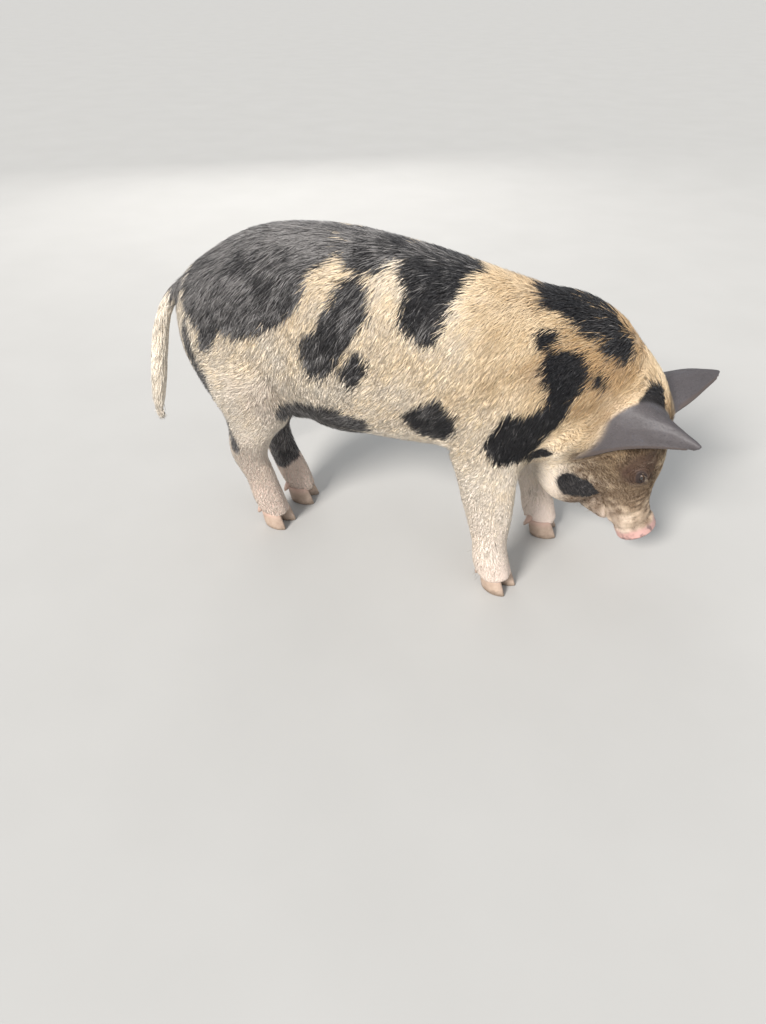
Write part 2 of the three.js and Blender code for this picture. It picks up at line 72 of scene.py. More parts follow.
# %% [markdown]
# ## The sizes of the body
#
# These are the solids' own sizes, so that the skin lies inside them all round. A station is the middle of a
# cross-section, then its half width, its reach up or to the front, and its reach down or to the back.

# %% Trunk, legs and tail
TRUNK = [
    (-398, 0, 478, 38, 40, 62), (-340, 0, 462, 98, 106, 116), (-250, 0, 446, 135, 176, 150),
    (-130, 0, 440, 153, 194, 176), (0, 0, 430, 159, 186, 176), (120, 0, 412, 149, 177, 157),
    (220, 4, 395, 132, 170, 141), (265, 11, 385, 121, 174, 130), (310, 20, 374, 108, 161, 118),
    (378, 38, 352, 90, 107, 96),
]
LEGS = {
    "foreleg_right": [
        (196, -84, 390, 44, 70, 74), (190, -98, 300, 45, 56, 70), (194, -107, 232, 39, 53, 56),
        (202, -109, 170, 34, 44, 45), (207, -110, 112, 30, 34, 34), (213, -110, 68, 31, 35, 35),
        (226, -106, 36, 28, 29, 31),
    ],
    "foreleg_left": [
        (200, 84, 390, 44, 70, 74), (204, 98, 300, 45, 56, 68), (228, 103, 232, 38, 50, 52),
        (249, 104, 170, 33, 42, 42), (262, 104, 112, 29, 33, 33), (273, 103, 68, 30, 34, 34),
        (287, 102, 36, 28, 29, 31),
    ],
    "hindleg_right": [
        (-286, -68, 440, 56, 92, 90), (-262, -84, 340, 54, 92, 84), (-272, -80, 262, 42, 48, 55),
        (-294, -64, 190, 31, 38, 42), (-284, -50, 128, 26, 34, 33), (-275, -40, 72, 28, 34, 34),
        (-262, -34, 37, 27, 28, 30),
    ],
    "hindleg_left": [
        (-286, 68, 440, 56, 92, 90), (-258, 84, 340, 54, 92, 84), (-273, 82, 262, 42, 47, 54),
        (-304, 76, 190, 31, 38, 40), (-288, 72, 128, 26, 34, 33), (-262, 70, 72, 28, 34, 34),
        (-244, 69, 37, 27, 28, 30),
    ],
}
TAIL = [
    (-392, 0, 500, 22, 22, 22), (-436, 0, 488, 18, 18, 18), (-469, 0, 452, 17, 17, 17),
    (-491, 0, 404, 19, 19, 19), (-505, 0, 350, 20, 20, 20), (-516, -1, 296, 20, 19, 19),
    (-524, -2, 246, 15, 15, 15), (-526, -3, 208, 5, 5, 5),
]
MASSES = [  # shoulders, haunches, chest and sheath: middle, half sizes, blend
    ((182, 78, 400), (84, 50, 118), 50),
    ((-288, 66, 430), (92, 62, 112), 60),
    ((222, 0, 302), (74, 70, 54), 60),
    ((-108, 0, 276), (86, 40, 38), 34),
]
LEG_BLEND = 46

# %% Head, ears and feet
HEAD_AT = Vector((410, 52, 340))
HEAD_TURN = (8, 74, -3)  # roll, pitch and yaw in degrees
SKULL = [
    (-42, 0, -12, 84, 48, 92), (22, 0, 0, 90, 67, 110), (90, 0, 0, 79, 60, 102),
    (144, 0, -12, 60, 48, 70), (196, 0, -20, 48, 40, 42), (238, 0, -18, 43, 37, 37),
]
JAW = [
    (50, 0, -98, 60, 34, 44), (110, 0, -100, 56, 36, 52), (168, 0, -86, 43, 28, 42),
    (214, 0, -70, 28, 18, 20),
]
JOWL = ((78, 50, -112), (96, 44, 70), 40)
SNOUT = {"at": 248, "rise": -14, "wide": 43, "tall": 38.6, "deep": 17, "tilt": 10, "apart": 17}
EYE = {"at": (102, 60, 24), "radius": 12, "lid": 1.7, "slit": 10.8, "upper": 5.0, "lower": 3.6}
EARS = {  # side, the root's outer end, back and inner end, the tip, and how far the two edges swell
    "right": (-1, (37, 99, -70), (-120, 138, 70), (8, 26, 72), (14, 126, 146), (0.12, -0.08)),
    "left": (1, (36, 90, -58), (-70, 108, 46), (26, 34, 72), (15, 170, 130), (0.2, 0.05)),
}
EAR_ARCH = 13
FEET = {  # the middle of the sole and the turn of the toes
    "foreleg_right": ((232, -102), -22), "foreleg_left": ((293, 102), 6),
    "hindleg_right": ((-257, -32), -10), "hindleg_left": ((-239, 70), 4),
}
CORONET = {"height": 31, "slope": 14}

# %% [markdown]
# ## Two frames
#
# The head's sizes are given along the head, from the middle of the brain case to the snout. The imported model
# was moved so that its box stands over the origin. An eye shows by how much.

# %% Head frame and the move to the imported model's frame
head_turn = Euler(np.radians(HEAD_TURN), "XYZ").to_matrix().to_4x4()
head_frame = np.array(Matrix.Translation(HEAD_AT) @ head_turn)
to_head = np.linalg.inv(head_frame)


def moved(points, frame_matrix):
    """Points turned and shifted by the matrix of a frame."""
    return np.asarray(points, float) @ frame_matrix[:3, :3].T + frame_matrix[:3, 3]


eye_low, eye_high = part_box("eye_left")
MIDDLE = np.array((eye_low + eye_high) / 2) * 1000 - moved(EYE["at"], head_frame)
print("The body's own origin in the packed model, mm:", MIDDLE.round(2))


def to_frame(points):
    """Millimetres in the body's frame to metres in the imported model's."""
    return (np.asarray(points, float) + MIDDLE) / 1000


# %% [markdown]
# ## A grid of levels
#
# The flesh is stored as a grid of levels: how far each corner of the grid is from the surface, below zero
# inside. Levels blend well where legs run into a trunk, and they can be moved in by the depth of the coat.
# OpenVDB then lays one closed net over the zero level.

# %% Grid
VOXEL = 3.8
FAR = 90.0  # the level of a corner that nothing is near
LOW = np.array(cad_box[0]) * 1000 - MIDDLE - 16
COUNT = np.ceil((np.array(cad_box[1]) * 1000 - MIDDLE + 16 - LOW) / VOXEL).astype(int)
AXES = [(LOW[i] + VOXEL * np.arange(COUNT[i])).astype(np.float32) for i in range(3)]
print("Corners of the grid:", COUNT.tolist())


def near(low, high):
    """The part of the grid between two corners, and its coordinates."""
    start = np.clip(np.floor((np.asarray(low) - LOW) / VOXEL), 0, COUNT - 1).astype(int)
    stop = np.clip(np.ceil((np.asarray(high) - LOW) / VOXEL) + 1, 1, COUNT).astype(int)
    window = tuple(slice(a, b) for a, b in zip(start, stop))
    return window, np.ix_(*(AXES[i][window[i]] for i in range(3)))


def egg_distance(x, y, z, a, b, c):
    """Distance from an egg with half sizes a, b and c: near enough, and negative inside."""
    level = np.sqrt((x / a) ** 2 + (y / b) ** 2 + (z / c) ** 2 + 1e-9)
    slope = np.sqrt((x / a**2) ** 2 + (y / b**2) ** 2 + (z / c**2) ** 2 + 1e-12)
    return level * (level - 1) / slope


def blended(a, b, width):
    """The smaller of two levels, with the corner between them rounded over."""
    share = np.maximum(width - np.abs(a - b), 0) / width
    return np.minimum(a, b) - share * share * width / 4


def carved(a, b, width):
    """Level a with shape b taken out of it."""
    return -blended(-a, b, width)


# %% Limbs
REACH = 62  # how far round a limb its levels are worked out


def unit(v):
    """Vectors made one long."""
    return v / np.maximum(np.linalg.norm(v, axis=-1, keepdims=True), 1e-6)


def spline(stations, steps=4):
    """Stations on a smooth line through the given ones."""
    p = np.array(stations, float)
    p = np.vstack([2 * p[0] - p[1], p, 2 * p[-1] - p[-2]])
    line = []
    for i in range((len(stations) - 1) * steps + 1):
        k = min(i // steps, len(stations) - 2)
        t = i / steps - k
        a, b, c, d = p[k : k + 4]
        bend, twist = 2 * a - 5 * b + 4 * c - d, 3 * b - a - 3 * c + d
        line.append(b + ((c - a) * t + bend * t**2 + twist * t**3) / 2)
    return np.array(line)


def limb(stations, over, frame_matrix=np.eye(4)):
    """Levels of a limb along its stations. "over" is the way that counts as above."""
    levels = np.full(COUNT, FAR, np.float32)
    line = spline(stations)
    middles = moved(line[:, :3], frame_matrix)
    over = frame_matrix[:3, :3] @ np.array(over, float)
    last = len(middles) - 2
    for i, (a, b, start, end) in enumerate(zip(middles, middles[1:], line[:, 3:], line[1:, 3:])):
        length = np.linalg.norm(b - a)
        along = (b - a) / length
        side = unit(np.cross(over, along))
        above = np.cross(along, side)
        wide, tall = max(start[0], end[0]) + REACH, max(start[1:].max(), end[1:].max()) + REACH
        ends = 20 + (wide if i in (0, last) else 0)
        margin = np.abs(along) * ends + np.abs(side) * wide + np.abs(above) * tall
        window, (x, y, z) = near(np.minimum(a, b) - margin, np.maximum(a, b) + margin)
        dx, dy, dz = (c - np.float32(m) for c, m in zip((x, y, z), a))
        forward, out, up = (dx * v[0] + dy * v[1] + dz * v[2] for v in np.float32([along, side, above]))
        t = np.clip(forward / np.float32(length), 0, 1)
        width, upper, lower = (np.float32(s) + np.float32(e - s) * t for s, e in zip(start, end))
        height = np.where(up > 0, upper, lower)
        past_end = forward - t * np.float32(length)
        d = egg_distance(past_end, out, up, np.minimum(width, height), width, height)
        levels[window] = np.minimum(levels[window], d)
    return levels


# %% Flesh out to the tips of the coat
UP, FRONT = (0, 0, 1), (1, 0, 0)
_, (gx, gy, gz) = near(LOW, LOW + COUNT * VOXEL)
flesh = limb(TRUNK, UP)
for at, size, width in MASSES:
    flesh = blended(flesh, egg_distance(gx - at[0], np.abs(gy) - at[1], gz - at[2], *size), width)
for stations in LEGS.values():
    flesh = blended(flesh, limb(stations, FRONT), LEG_BLEND)
head_window, head_grid = near((190, -200, 0), (620, 300, 560))


def in_head(x, y, z):
    """Coordinates in the head's frame."""
    return [to_head[i, 0] * x + to_head[i, 1] * y + to_head[i, 2] * z + to_head[i, 3] for i in range(3)]


skull = limb(SKULL, UP, head_frame)
hx, hy, hz = in_head(*head_grid)
at, size, width = JOWL
jowl = egg_distance(hx - at[0], np.abs(hy) - at[1], hz - at[2], *size)
skull[head_window] = blended(skull[head_window], jowl, width)
flesh = blended(blended(flesh, skull, 55), limb(JAW, UP, head_frame), 26)
print("Litres of flesh and coat:", round(float((flesh < 0).sum()) * VOXEL**3 / 1e6, 1))

# %% [markdown]
# ## How deep the coat is
#
# The hair of the neck and back is long and lies in many layers. It is short on the legs and face, and there
# is none on the snout. The same depth moves the skin in and later lifts the tips of the hair.


# %% Depth and length of the coat, and a smooth noise
def coat_depth(x, y, z):
    """Millimetres from the skin out to the tips of the coat."""
    legs = np.interp(z, [40, 110, 200, 300], [1.8, 2.8, 5, 8])
    face = np.interp(in_head(x, y, z)[0], [-60, 20, 120, 200, 235], [8, 6, 4, 2.4, 0.8])
    return np.minimum(legs, face)


def corner_share(f, corner):
    """How much one corner of a cell counts at the place f in the cell."""
    return np.prod([f[..., i] if corner[i] else 1 - f[..., i] for i in range(3)], axis=0)


def noise(p, size, seed=0):
    """Smooth lumps from -1 to 1, about size across."""
    q = np.asarray(p, float) / size + seed * 17.17 + 100
    cell = np.floor(q).astype(np.int64)
    f = q - cell
    f = f * f * (3 - 2 * f)
    total = 0
    for corner in itertools.product((0, 1), repeat=3):
        c = cell + corner
        h = (c[..., 0] * 374761393 + c[..., 1] * 668265263 + c[..., 2] * 1442695041) & 0xFFFFFFFF
        h = ((h ^ (h >> 13)) * 1274126177) & 0xFFFFFFFF
        h = h ^ (h >> 16)
        total = total + corner_share(f, corner) * ((h & 0xFFFF) / 32767.5 - 1)
    return total


def step(x, low, high):
    """From 0 at low to 1 at high, eased."""
    t = np.clip((x - low) / (high - low), 0, 1)
    return t * t * (3 - 2 * t)


def within(x, low, full, fading, high):
    """1 from full to fading, eased to 0 at low and at high."""
    return step(x, low, full) * step(-x, -high, -fading)


def bump(distance, width):
    """A smooth hump, 1 where the distance is 0."""
    return np.exp(-((distance / width) ** 2))


body = flesh + coat_depth(gx, gy, gz).astype(np.float32)

# %% Folds of the skin
# A line along each fold on the right side, its depth and its width. They are behind the elbow, before and
# behind the thigh, behind the cheek, round the neck and before the foreleg.
CREASES = [
    ([(122, -92, 286), (134, -122, 322), (138, -140, 366), (128, -152, 410)], 6.5, 12),
    ([(-196, -70, 296), (-190, -104, 330), (-200, -128, 372), (-222, -138, 420)], 8.5, 13),
    ([(-352, -34, 330), (-372, -42, 380), (-384, -44, 430)], 6, 10),
    ([(392, -84, 330), (366, -66, 290), (344, -40, 250), (322, -10, 214)], 6, 9),
    ([(356, -104, 372), (330, -96, 330), (300, -84, 290)], 3, 9),
    ([(232, -96, 292), (236, -82, 262), (232, -74, 236)], 4, 8),
]


def creased(levels, line, depth, width):
    """Presses a fold into the levels along a line of points."""
    line = spline(line, 3)
    window, grid_place = near(line.min(0) - 3 * width, line.max(0) + 3 * width)
    nearest = np.full(levels[window].shape, FAR**2, np.float32)
    for a, b in zip(line, line[1:]):
        way = b - a
        x, y, z = (place - start for place, start in zip(grid_place, a))
        t = np.clip((x * way[0] + y * way[1] + z * way[2]) / (way @ way), 0, 1)
        off = (x - t * way[0]) ** 2 + (y - t * way[1]) ** 2 + (z - t * way[2]) ** 2
        nearest = np.minimum(nearest, off)
    levels[window] += depth * np.exp(-nearest / width**2)


for line, depth, width in CREASES:
    for side in (-1, 1):
        mirrored = np.array(line, float) * (1, -side, 1)
        if side > 0 and line[0][0] > 300:
            mirrored = moved(moved(line, to_head) * (1, -1, 1), head_frame)
        creased(body, mirrored, depth, width)
print("Folds:", 2 * len(CREASES))

# %% [markdown]
# ## The face
#
# The muzzle ends in a bare disc with two nostrils. The eyes lie in wrinkled sockets under the ears, each with
# an upper and a lower lid. The mouth is shut. All of it is written as changes to the level, in the head's
# frame, so that the same lines serve the grid and, later, a finer net. The ears' shade round the eyes is
# painted dark later, in the colour of the skin and the hair.

# %% Eyes' places and directions
EYE_OUT = unit(np.array((0.24, 0.84, 0.48)))
EYE_ALONG = unit(np.cross(EYE_OUT, (-0.16, -0.5, 1.0)))
EYE_UP = np.cross(EYE_ALONG, EYE_OUT)
print("Along the eye, and up from it:", EYE_ALONG.round(2), EYE_UP.round(2))


def from_eye(x, y, z):
    """Offsets from the middle of the nearer eyeball, for points in the head's frame."""
    return x - EYE["at"][0], np.abs(y) - EYE["at"][1], z - EYE["at"][2]


def eye_ways(x, y, z):
    """The same offsets as ways out of the eye, along it and up from it."""
    ex, ey, ez = from_eye(x, y, z)
    return (ex * v[0] + ey * v[1] + ez * v[2] for v in (EYE_OUT, EYE_ALONG, EYE_UP))


def turned(x, y, angle):
    """x and y turned by an angle in radians."""
    return x * np.cos(angle) - y * np.sin(angle), x * np.sin(angle) + y * np.cos(angle)


# %% Snout and the wrinkles over it
DISC_EDGE = 5  # how round the disc's edge is


def muzzle(level, x, y, z):
    """The head's level with the bare disc, its hollow, the nostrils and the wrinkles of the nose."""
    forward, rise = turned(x - SNOUT["at"], z - SNOUT["rise"], -np.radians(SNOUT["tilt"]))
    radial = (np.hypot(y / SNOUT["wide"], rise / SNOUT["tall"]) - 1) * SNOUT["tall"] + DISC_EDGE
    radial = radial + 1.6 * bump(rise + 44, 12)
    depth = np.abs(forward - 4) - (SNOUT["deep"] - 4.6) + DISC_EDGE
    disc = np.hypot(np.maximum(radial, 0), np.maximum(depth, 0)) - DISC_EDGE
    disc = disc + np.minimum(np.maximum(radial, depth), 0)
    level = blended(level + 3.0 * bump(forward + 8, 6) * (x > 200), disc, 5)
    level = carved(level, egg_distance(forward - 24.5, y, rise, 9, 33, 28), 3)
    beside = np.abs(y) - SNOUT["apart"] - 0.12 * rise
    level = carved(level, egg_distance(forward - 19, beside, rise + 1, 15, 6.6, 8.4), 3.2)
    over_nose = within(x, 128, 160, 214, 238) * step(z, -34, 0)
    waves = np.sin(x / 2.1 + 0.6 * np.sin(np.abs(y) / 9)) * (0.6 + 0.4 * np.sin(np.abs(y) / 5))
    return level + 1.1 * over_nose * waves


# %% Sockets, lids and mouth
def eye_sockets(level, x, y, z):
    """Hollows, then lids round the eyeballs with their folds, then the openings between the lids."""
    out, along, up = eye_ways(x, y, z)
    away = np.hypot(along, up * 1.15)
    level = level - 4.4 * bump(away - 8, 22) * step(out, -20, 0)
    round_eye = np.sqrt(out**2 + along**2 + up**2)
    level = blended(level, round_eye - EYE["radius"] - EYE["lid"], 12)
    folds = np.cos((away - 13) * 1.15 + 1.3 * np.sin(along / 7)) * within(away, 12, 16, 19, 40)
    level = level - 1.35 * folds * step(out, -14, 2)
    inside_lids = np.clip(1 - (along / EYE["slit"]) ** 2, 0, 1)
    gap = np.where(up > 0, up - EYE["upper"] * inside_lids**0.8, -up - EYE["lower"] * inside_lids**0.9)
    opening = np.maximum(gap, np.abs(along) - EYE["slit"])
    opening = np.maximum(opening, np.maximum(EYE["radius"] - 0.8 - round_eye, 3 - out))
    return np.maximum(level, -opening)


def mouth(level, x, y, z):
    """The line between the lips, and the swell above it."""
    lips = z + 54 + 0.08 * (x - 150) - 9 * bump(x - 146, 11)
    level = level + 2.8 * bump(lips, 2.1) * within(x, 142, 156, 236, 246)
    return level - 1.3 * bump(lips - 5.5, 5) * within(x, 150, 175, 225, 246)


def face(level, x, y, z):
    """The level of the head with its features. Coordinates are in the head's frame."""
    for feature in (muzzle, eye_sockets, mouth):
        level = feature(level, x, y, z)
    return level


grid = body.copy()
grid[head_window] = face(body[head_window], hx, hy, hz)

# %% [markdown]
# ## Ears
#
# An ear is a cupped leaf of gristle. Its root runs round the side of the skull, and it narrows to a tip that
# hangs forward over the eye. The leaf is a sheet of close points, and the level is the distance to the
# nearest one less half the thickness there.

# %% Ear sheets
EAR_THICK, EAR_RIM = 8.0, 4.6
EAR_NET = (119, 91)  # points from the root to the tip, and across


def ear_sheet(side, outer, back, inner, tip, swell):
    """An ear's points. u runs from the root to the tip, and v from the outer edge to the inner."""
    u = np.linspace(-0.2, 1, EAR_NET[0])[:, None, None]
    v = np.linspace(-1, 1, EAR_NET[1])[None, :, None]
    blade, t = np.maximum(u, 0), (v + 1) / 2
    outer, back, inner, tip = (np.array(p, float) * (1, side, 1) for p in (outer, back, inner, tip))
    root = (1 - t) ** 2 * outer + 2 * t * (1 - t) * back + t**2 * inner
    fullness = np.where(v > 0, swell[1], swell[0]) * np.sin(np.pi * blade**0.8)
    sheet = tip + (root - tip) * (1 - 0.93 * u) + (inner - outer) * 0.5 * v * fullness
    sheet = sheet - np.array((EAR_ARCH, 0, 0)) * np.sin(np.pi * blade**1.4) * (1 - v) / 2
    flow = np.gradient(sheet, axis=0)
    normal = unit(np.cross(flow, np.gradient(sheet, axis=1)) * side)
    # thin at the rim, which is rolled, and blunt at the tip
    thick = EAR_RIM + (EAR_THICK - EAR_RIM) * (1 - blade) * (1 - v**2)
    thick = thick + 2.2 * bump(np.abs(v) - 0.95, 0.06) * within(u, 0.05, 0.2, 0.8, 0.98)
    thick = thick + 3 * step(u, 0.78, 1.0) * (1 - v**2) - 2.6 * step(u, 0.9, 1.0) * np.abs(v)
    # the blade waves a little, and veins run from the root to the rim
    sheet = sheet + normal * 1.1 * np.sin(u * 9 + v * 2) * blade * (1 - u) * 4 * v**2
    vein = 0.55 * np.cos(v * 17 + 2.2 * np.sin(u * 6)) * (1 - v**2) * within(u, 0, 0.15, 0.6, 1)

    def in_body(ways):
        return (ways @ head_frame[:3, :3].T).reshape(-1, 3)

    return {
        "at": moved(sheet.reshape(-1, 3), head_frame),
        "normal": in_body(normal),
        "flow": in_body(flow),
        "round": -in_body(np.gradient(sheet, axis=1)),
        "half": ((thick + vein) / 2).ravel(),
        "u": np.broadcast_to(u, thick.shape).ravel(),
        "v": np.broadcast_to(v, thick.shape).ravel(),
    }


class Ear:
    """An ear's sheet, with a tree of its points to find the nearest one."""

    def __init__(self, shape):
        self.sheet = ear_sheet(*shape)
        self.tree = kdtree.KDTree(len(self.sheet["at"]))
        for i, point in enumerate(self.sheet["at"]):
            self.tree.insert(point, i)
        self.tree.balance()
        self.low, self.high = self.sheet["at"].min(0) - 14, self.sheet["at"].max(0) + 14

    def nearest(self, points):
        """Which point of the sheet is nearest each of these, or -1 outside the ear's box."""
        found = np.full(len(points), -1)
        for i in np.flatnonzero(((points > self.low) & (points < self.high)).all(1)):
            found[i] = self.tree.find(points[i])[1]
        return found

    def level(self, points, found):
        """How far points are from the ear's surface, given the nearest points of its sheet."""
        from_sheet = points - self.sheet["at"][found]
        off = np.abs((from_sheet * self.sheet["normal"][found]).sum(1))
        beside = np.sqrt(np.maximum((from_sheet**2).sum(1) - off**2, 0))
        level = np.hypot(off, np.maximum(beside - 1.6, 0)) - self.sheet["half"][found]
        return np.where(found < 0, FAR, level)


EAR_BLEND = 13
ears = {name: Ear(shape) for name, shape in EARS.items()}
for name, ear in ears.items():
    window, coordinates = near(ear.low, ear.high)
    points = np.stack([c.ravel() for c in np.broadcast_arrays(*coordinates)], 1).astype(float)
    level = ear.level(points, ear.nearest(points)).reshape(grid[window].shape)
    grid[window] = blended(grid[window], np.minimum(level, FAR), EAR_BLEND)
    print("Ear", name, "took", len(points), "corners of the grid")

# %% [markdown]
# ## Tail and feet
#
# The tail's flesh is thin: most of what shows is its long hair. Each foot ends at the coronet, where the two
# claws come out of the skin, with a cleft between the toes and a fleshy knob for each dewclaw.

# %% Tail core, coronets and clefts
TAIL_HAIR = 6.5
tail = limb(TAIL, FRONT) + TAIL_HAIR - 1.5 * step(gx, -450, -410)
grid = blended(grid, tail.astype(np.float32), 14)
DEWCLAW = {"back": 33, "apart": 19, "top": 58}


def foot_frame(name):
    """The frame of a foot: its sole's middle, with x towards the toes."""
    (x, y), turn = FEET[name]
    return np.array(Matrix.Translation((x, y, 0)) @ Matrix.Rotation(np.radians(turn), 4, "Z"))


for name in FEET:
    foot = foot_frame(name)
    out = np.linalg.inv(foot)
    window, (x, y, z) = near(foot[:3, 3] - (75, 75, 0), foot[:3, 3] + (75, 75, 105))
    fx, fy = (out[i, 0] * x + out[i, 1] * y + out[i, 3] for i in range(2))
    beside = np.abs(fy) - DEWCLAW["apart"] + 1
    knob = egg_distance(fx + DEWCLAW["back"] - 12, beside, z - DEWCLAW["top"], 12, 10, 15)
    level = blended(grid[window], knob, 10)
    level = level + 5.5 * bump(fy, 3.2) * step(fx, 0, 18) * step(-z, -78, -40)
    slope = np.sin(np.radians(CORONET["slope"]))
    above = ((z - CORONET["height"]) - slope * fx) / np.hypot(1, slope)
    grid[window] = -blended(-level, above + 4.5, 7)
print("Feet:", list(FEET))

# %% [markdown]
# ## The skin's net
#
# OpenVDB turns the grid into one closed net of four-sided faces. The head and ears need a finer net than the
# flanks, so their faces are divided, and the lids and nostrils once more. The new corners are pulled onto the
# exact level, which has more detail than the grid.


# %% Reading a grid between its corners
def sample(levels, p):
    """The level at points p, between the corners of the grid."""
    q = (p - LOW) / VOXEL
    cell = np.clip(np.floor(q).astype(int), 0, COUNT - 2)
    f = np.clip(q - cell, 0, 1)
    total = np.zeros(len(p))
    for corner in itertools.product((0, 1), repeat=3):
        total += corner_share(f, corner) * levels[tuple((cell + corner).T)]
    return total


def steepest(level_at, p, reach=1.0):
    """The level at points p and the way that it grows fastest."""
    slope = np.stack([level_at(p + s) - level_at(p - s) for s in np.eye(3) * reach], 1) / (2 * reach)
    return level_at(p), slope


def on_skin(p):
    return sample(grid, p)


def exact_head(p, found):
    """The head's level with all its detail, given the nearest points of the ears' sheets."""
    level = face(sample(body, p), *in_head(*p.T))
    for ear, nearest in zip(ears.values(), found):
        level = blended(level, ear.level(p, nearest), EAR_BLEND)
    return level


# %% Net from the grid
cut = 3 * VOXEL
volume = openvdb.FloatGrid(cut)
volume.copyFromArray(np.clip(grid, -cut, cut).astype(np.float32))
corners, quads = volume.convertToQuads(0.0)
corners = LOW + corners * VOXEL
print("Net:", len(corners), "corners,", len(quads), "faces")


def placed(name, data):
    """A new object in the scene that shows a mesh, a lamp or a camera."""
    thing = bpy.data.objects.new(name, data)
    bpy.context.collection.objects.link(thing)
    return thing


def mesh_from(name, points, faces):
    """A mesh object from points in millimetres and faces that all have as many corners."""
    mesh = bpy.data.meshes.new(name)
    points, faces = to_frame(points), np.asarray(faces)
    mesh.vertices.add(len(points))
    mesh.vertices.foreach_set("co", points.astype(np.float32).ravel())
    mesh.loops.add(faces.size)
    mesh.loops.foreach_set("vertex_index", faces.astype(np.int32).ravel())
    mesh.polygons.add(len(faces))
    mesh.polygons.foreach_set("loop_start", np.arange(len(faces), dtype=np.int32) * faces.shape[1])
    mesh.update(calc_edges=True)
    mesh.shade_smooth()
    return placed(name, mesh)


def points_of(piece):
    """A piece's points in millimetres in the body's frame."""
    co = np.empty(len(piece.data.vertices) * 3, np.float32)
    piece.data.vertices.foreach_get("co", co)
    return co.reshape(-1, 3).astype(float) * 1000 - MIDDLE


skin = mesh_from("skin", corners, quads)

# %% Finer net on the head
NAPE = (-52, 0, 55)  # in the head's frame


def on_head(p):
    """True for the points of the head and ears."""
    x, y, z = in_head(*p.T)
    return ((x - NAPE[0]) * 0.95 + (z - NAPE[2]) * 0.31 > -14) & (p[:, 0] > 300)


def near_openings(p):
    """True for the points by the eyes' and the nostrils' openings."""
    x, y, z = in_head(*p.T)
    return (np.linalg.norm(from_eye(x, y, z), axis=0) < 26) | ((x > 252) & (np.abs(y) < 32))


net = bmesh.new()
net.from_mesh(skin.data)
for chosen in (on_head, near_openings):
    net.faces.ensure_lookup_table()
    middles = np.array([f.calc_center_median() for f in net.faces]) * 1000 - MIDDLE
    edges = {e for i in np.flatnonzero(chosen(middles)) for e in net.faces[i].edges}
    bmesh.ops.subdivide_edges(net, edges=list(edges), cuts=1, use_grid_fill=True)
    print("Faces after dividing:", len(net.faces))
bmesh.ops.triangulate(net, faces=[f for f in net.faces if len(f.verts) > 4])
net.to_mesh(skin.data)
net.free()

points = points_of(skin)
fine = np.flatnonzero(on_head(points))
moving = points[fine]
found = [ear.nearest(moving) for ear in ears.values()]
MOST = 1.6  # millimetres that a point may move in one pass
for _ in range(2):
    level, slope = steepest(lambda p: exact_head(p, found), moving, 0.5)
    push = slope * (level / np.maximum((slope**2).sum(1), 0.3))[:, None]
    size = np.linalg.norm(push, axis=1, keepdims=True)
    moving = moving - push * np.minimum(1, MOST / np.maximum(size, 1e-6))
points[fine] = moving
skin.data.vertices.foreach_set("co", to_frame(points).astype(np.float32).ravel())
skin.data.update()
print("Skin:", len(points), "corners,", len(skin.data.polygons), "faces")

# %% [markdown]
# ## The markings
#
# A kunekune is blotched. Each black patch is an egg that takes in a piece of the surface, and patches that
# meet run together. Some eggs also paint shade: the belly's black is grown down over the shade under the
# belly, and eggs paint shade on the sheath's fold and between the hind legs. Noise bends their edges. The
# golden and the rosy places are broader and softer, and the rosy places also paint shade on the lower hind
# legs. The skin and the coat read the same functions, so they always agree.

# %% Black patches, with shade painted under the belly and between the hind legs
BLACK_AND_SHADE_EGGS = [  # the middle of each egg, its half sizes, and how far it is turned up at the front
    # rump and the back behind the saddle
    (-305, -60, 555, 98, 150, 88, 0), (-205, -60, 562, 76, 140, 76, 0), (-150, -50, 618, 60, 130, 46, 0),
    (-305, -135, 468, 20, 60, 26, 0), (-250, -135, 494, 46, 60, 25, 6), (-416, 0, 498, 36, 60, 42, 0),
    # saddle and the band that hangs from it
    (6, 0, 618, 118, 64, 28, -4), (-34, -50, 606, 46, 84, 30, 0), (76, -50, 580, 54, 110, 50, -10),
    (72, -112, 541, 36, 70, 46, 0), (120, -25, 587, 30, 60, 24, 0), (-92, -66, 608, 28, 34, 17, 20),
    # right flank and elbow; the belly's black grown down over the shade under the belly, and painted shade on
    # the sheath's fold
    (-68, -130, 512, 82, 90, 32, 61), (-102, -140, 456, 37, 80, 40, 0), (-36, -151, 442, 24, 60, 30, 0),
    (-104, -96, 324, 100, 74, 42, 4), (-112, -24, 268, 78, 50, 36, 0), (98, -137, 360, 42, 60, 46, 0),
    # neck and shoulder
    (272, 14, 548, 46, 58, 31, -20), (320, 12, 516, 50, 58, 36, -28), (366, 6, 480, 36, 48, 26, -36),
    (268, -67, 506, 21, 40, 17, 0), (300, -87, 452, 41, 60, 40, 0), (298, -96, 414, 26, 60, 30, 0),
    (240, -130, 342, 48, 70, 51, 24), (278, -115, 380, 38, 60, 30, 30), (359, -54, 440, 13, 30, 12, 0),
    # throat, cheek and the roots of the ears
    (266, -72, 292, 30, 36, 18, -30), (347, -14, 194, 44, 60, 26, -20), (452, -26, 390, 36, 46, 22, -14),
    (414, 118, 404, 30, 30, 24, 0),
    # back edge of the right thigh, and the inside of the hind legs: black hair with painted shade between the
    # legs
    (-350, -104, 394, 80, 60, 17, -77), (-312, -88, 262, 72, 50, 11, -76), (-250, 44, 240, 46, 50, 78, 8),
    (-280, 52, 166, 40, 40, 84, 0), (-258, 0, 612, 60, 90, 36, 0),
    # left side
    (-296, 106, 512, 92, 84, 74, 10), (-206, 150, 424, 40, 60, 74, 34), (-16, 104, 566, 88, 74, 56, -12),
    (44, 146, 462, 42, 60, 76, 12), (212, 112, 470, 66, 74, 50, -44), (290, 112, 396, 36, 50, 58, -16),
    (-44, 100, 316, 82, 52, 34, 0), (-330, 112, 352, 20, 50, 58, 14), (396, 128, 268, 30, 36, 20, 20),
]


WARP = 12  # how far noise bends the patches' edges


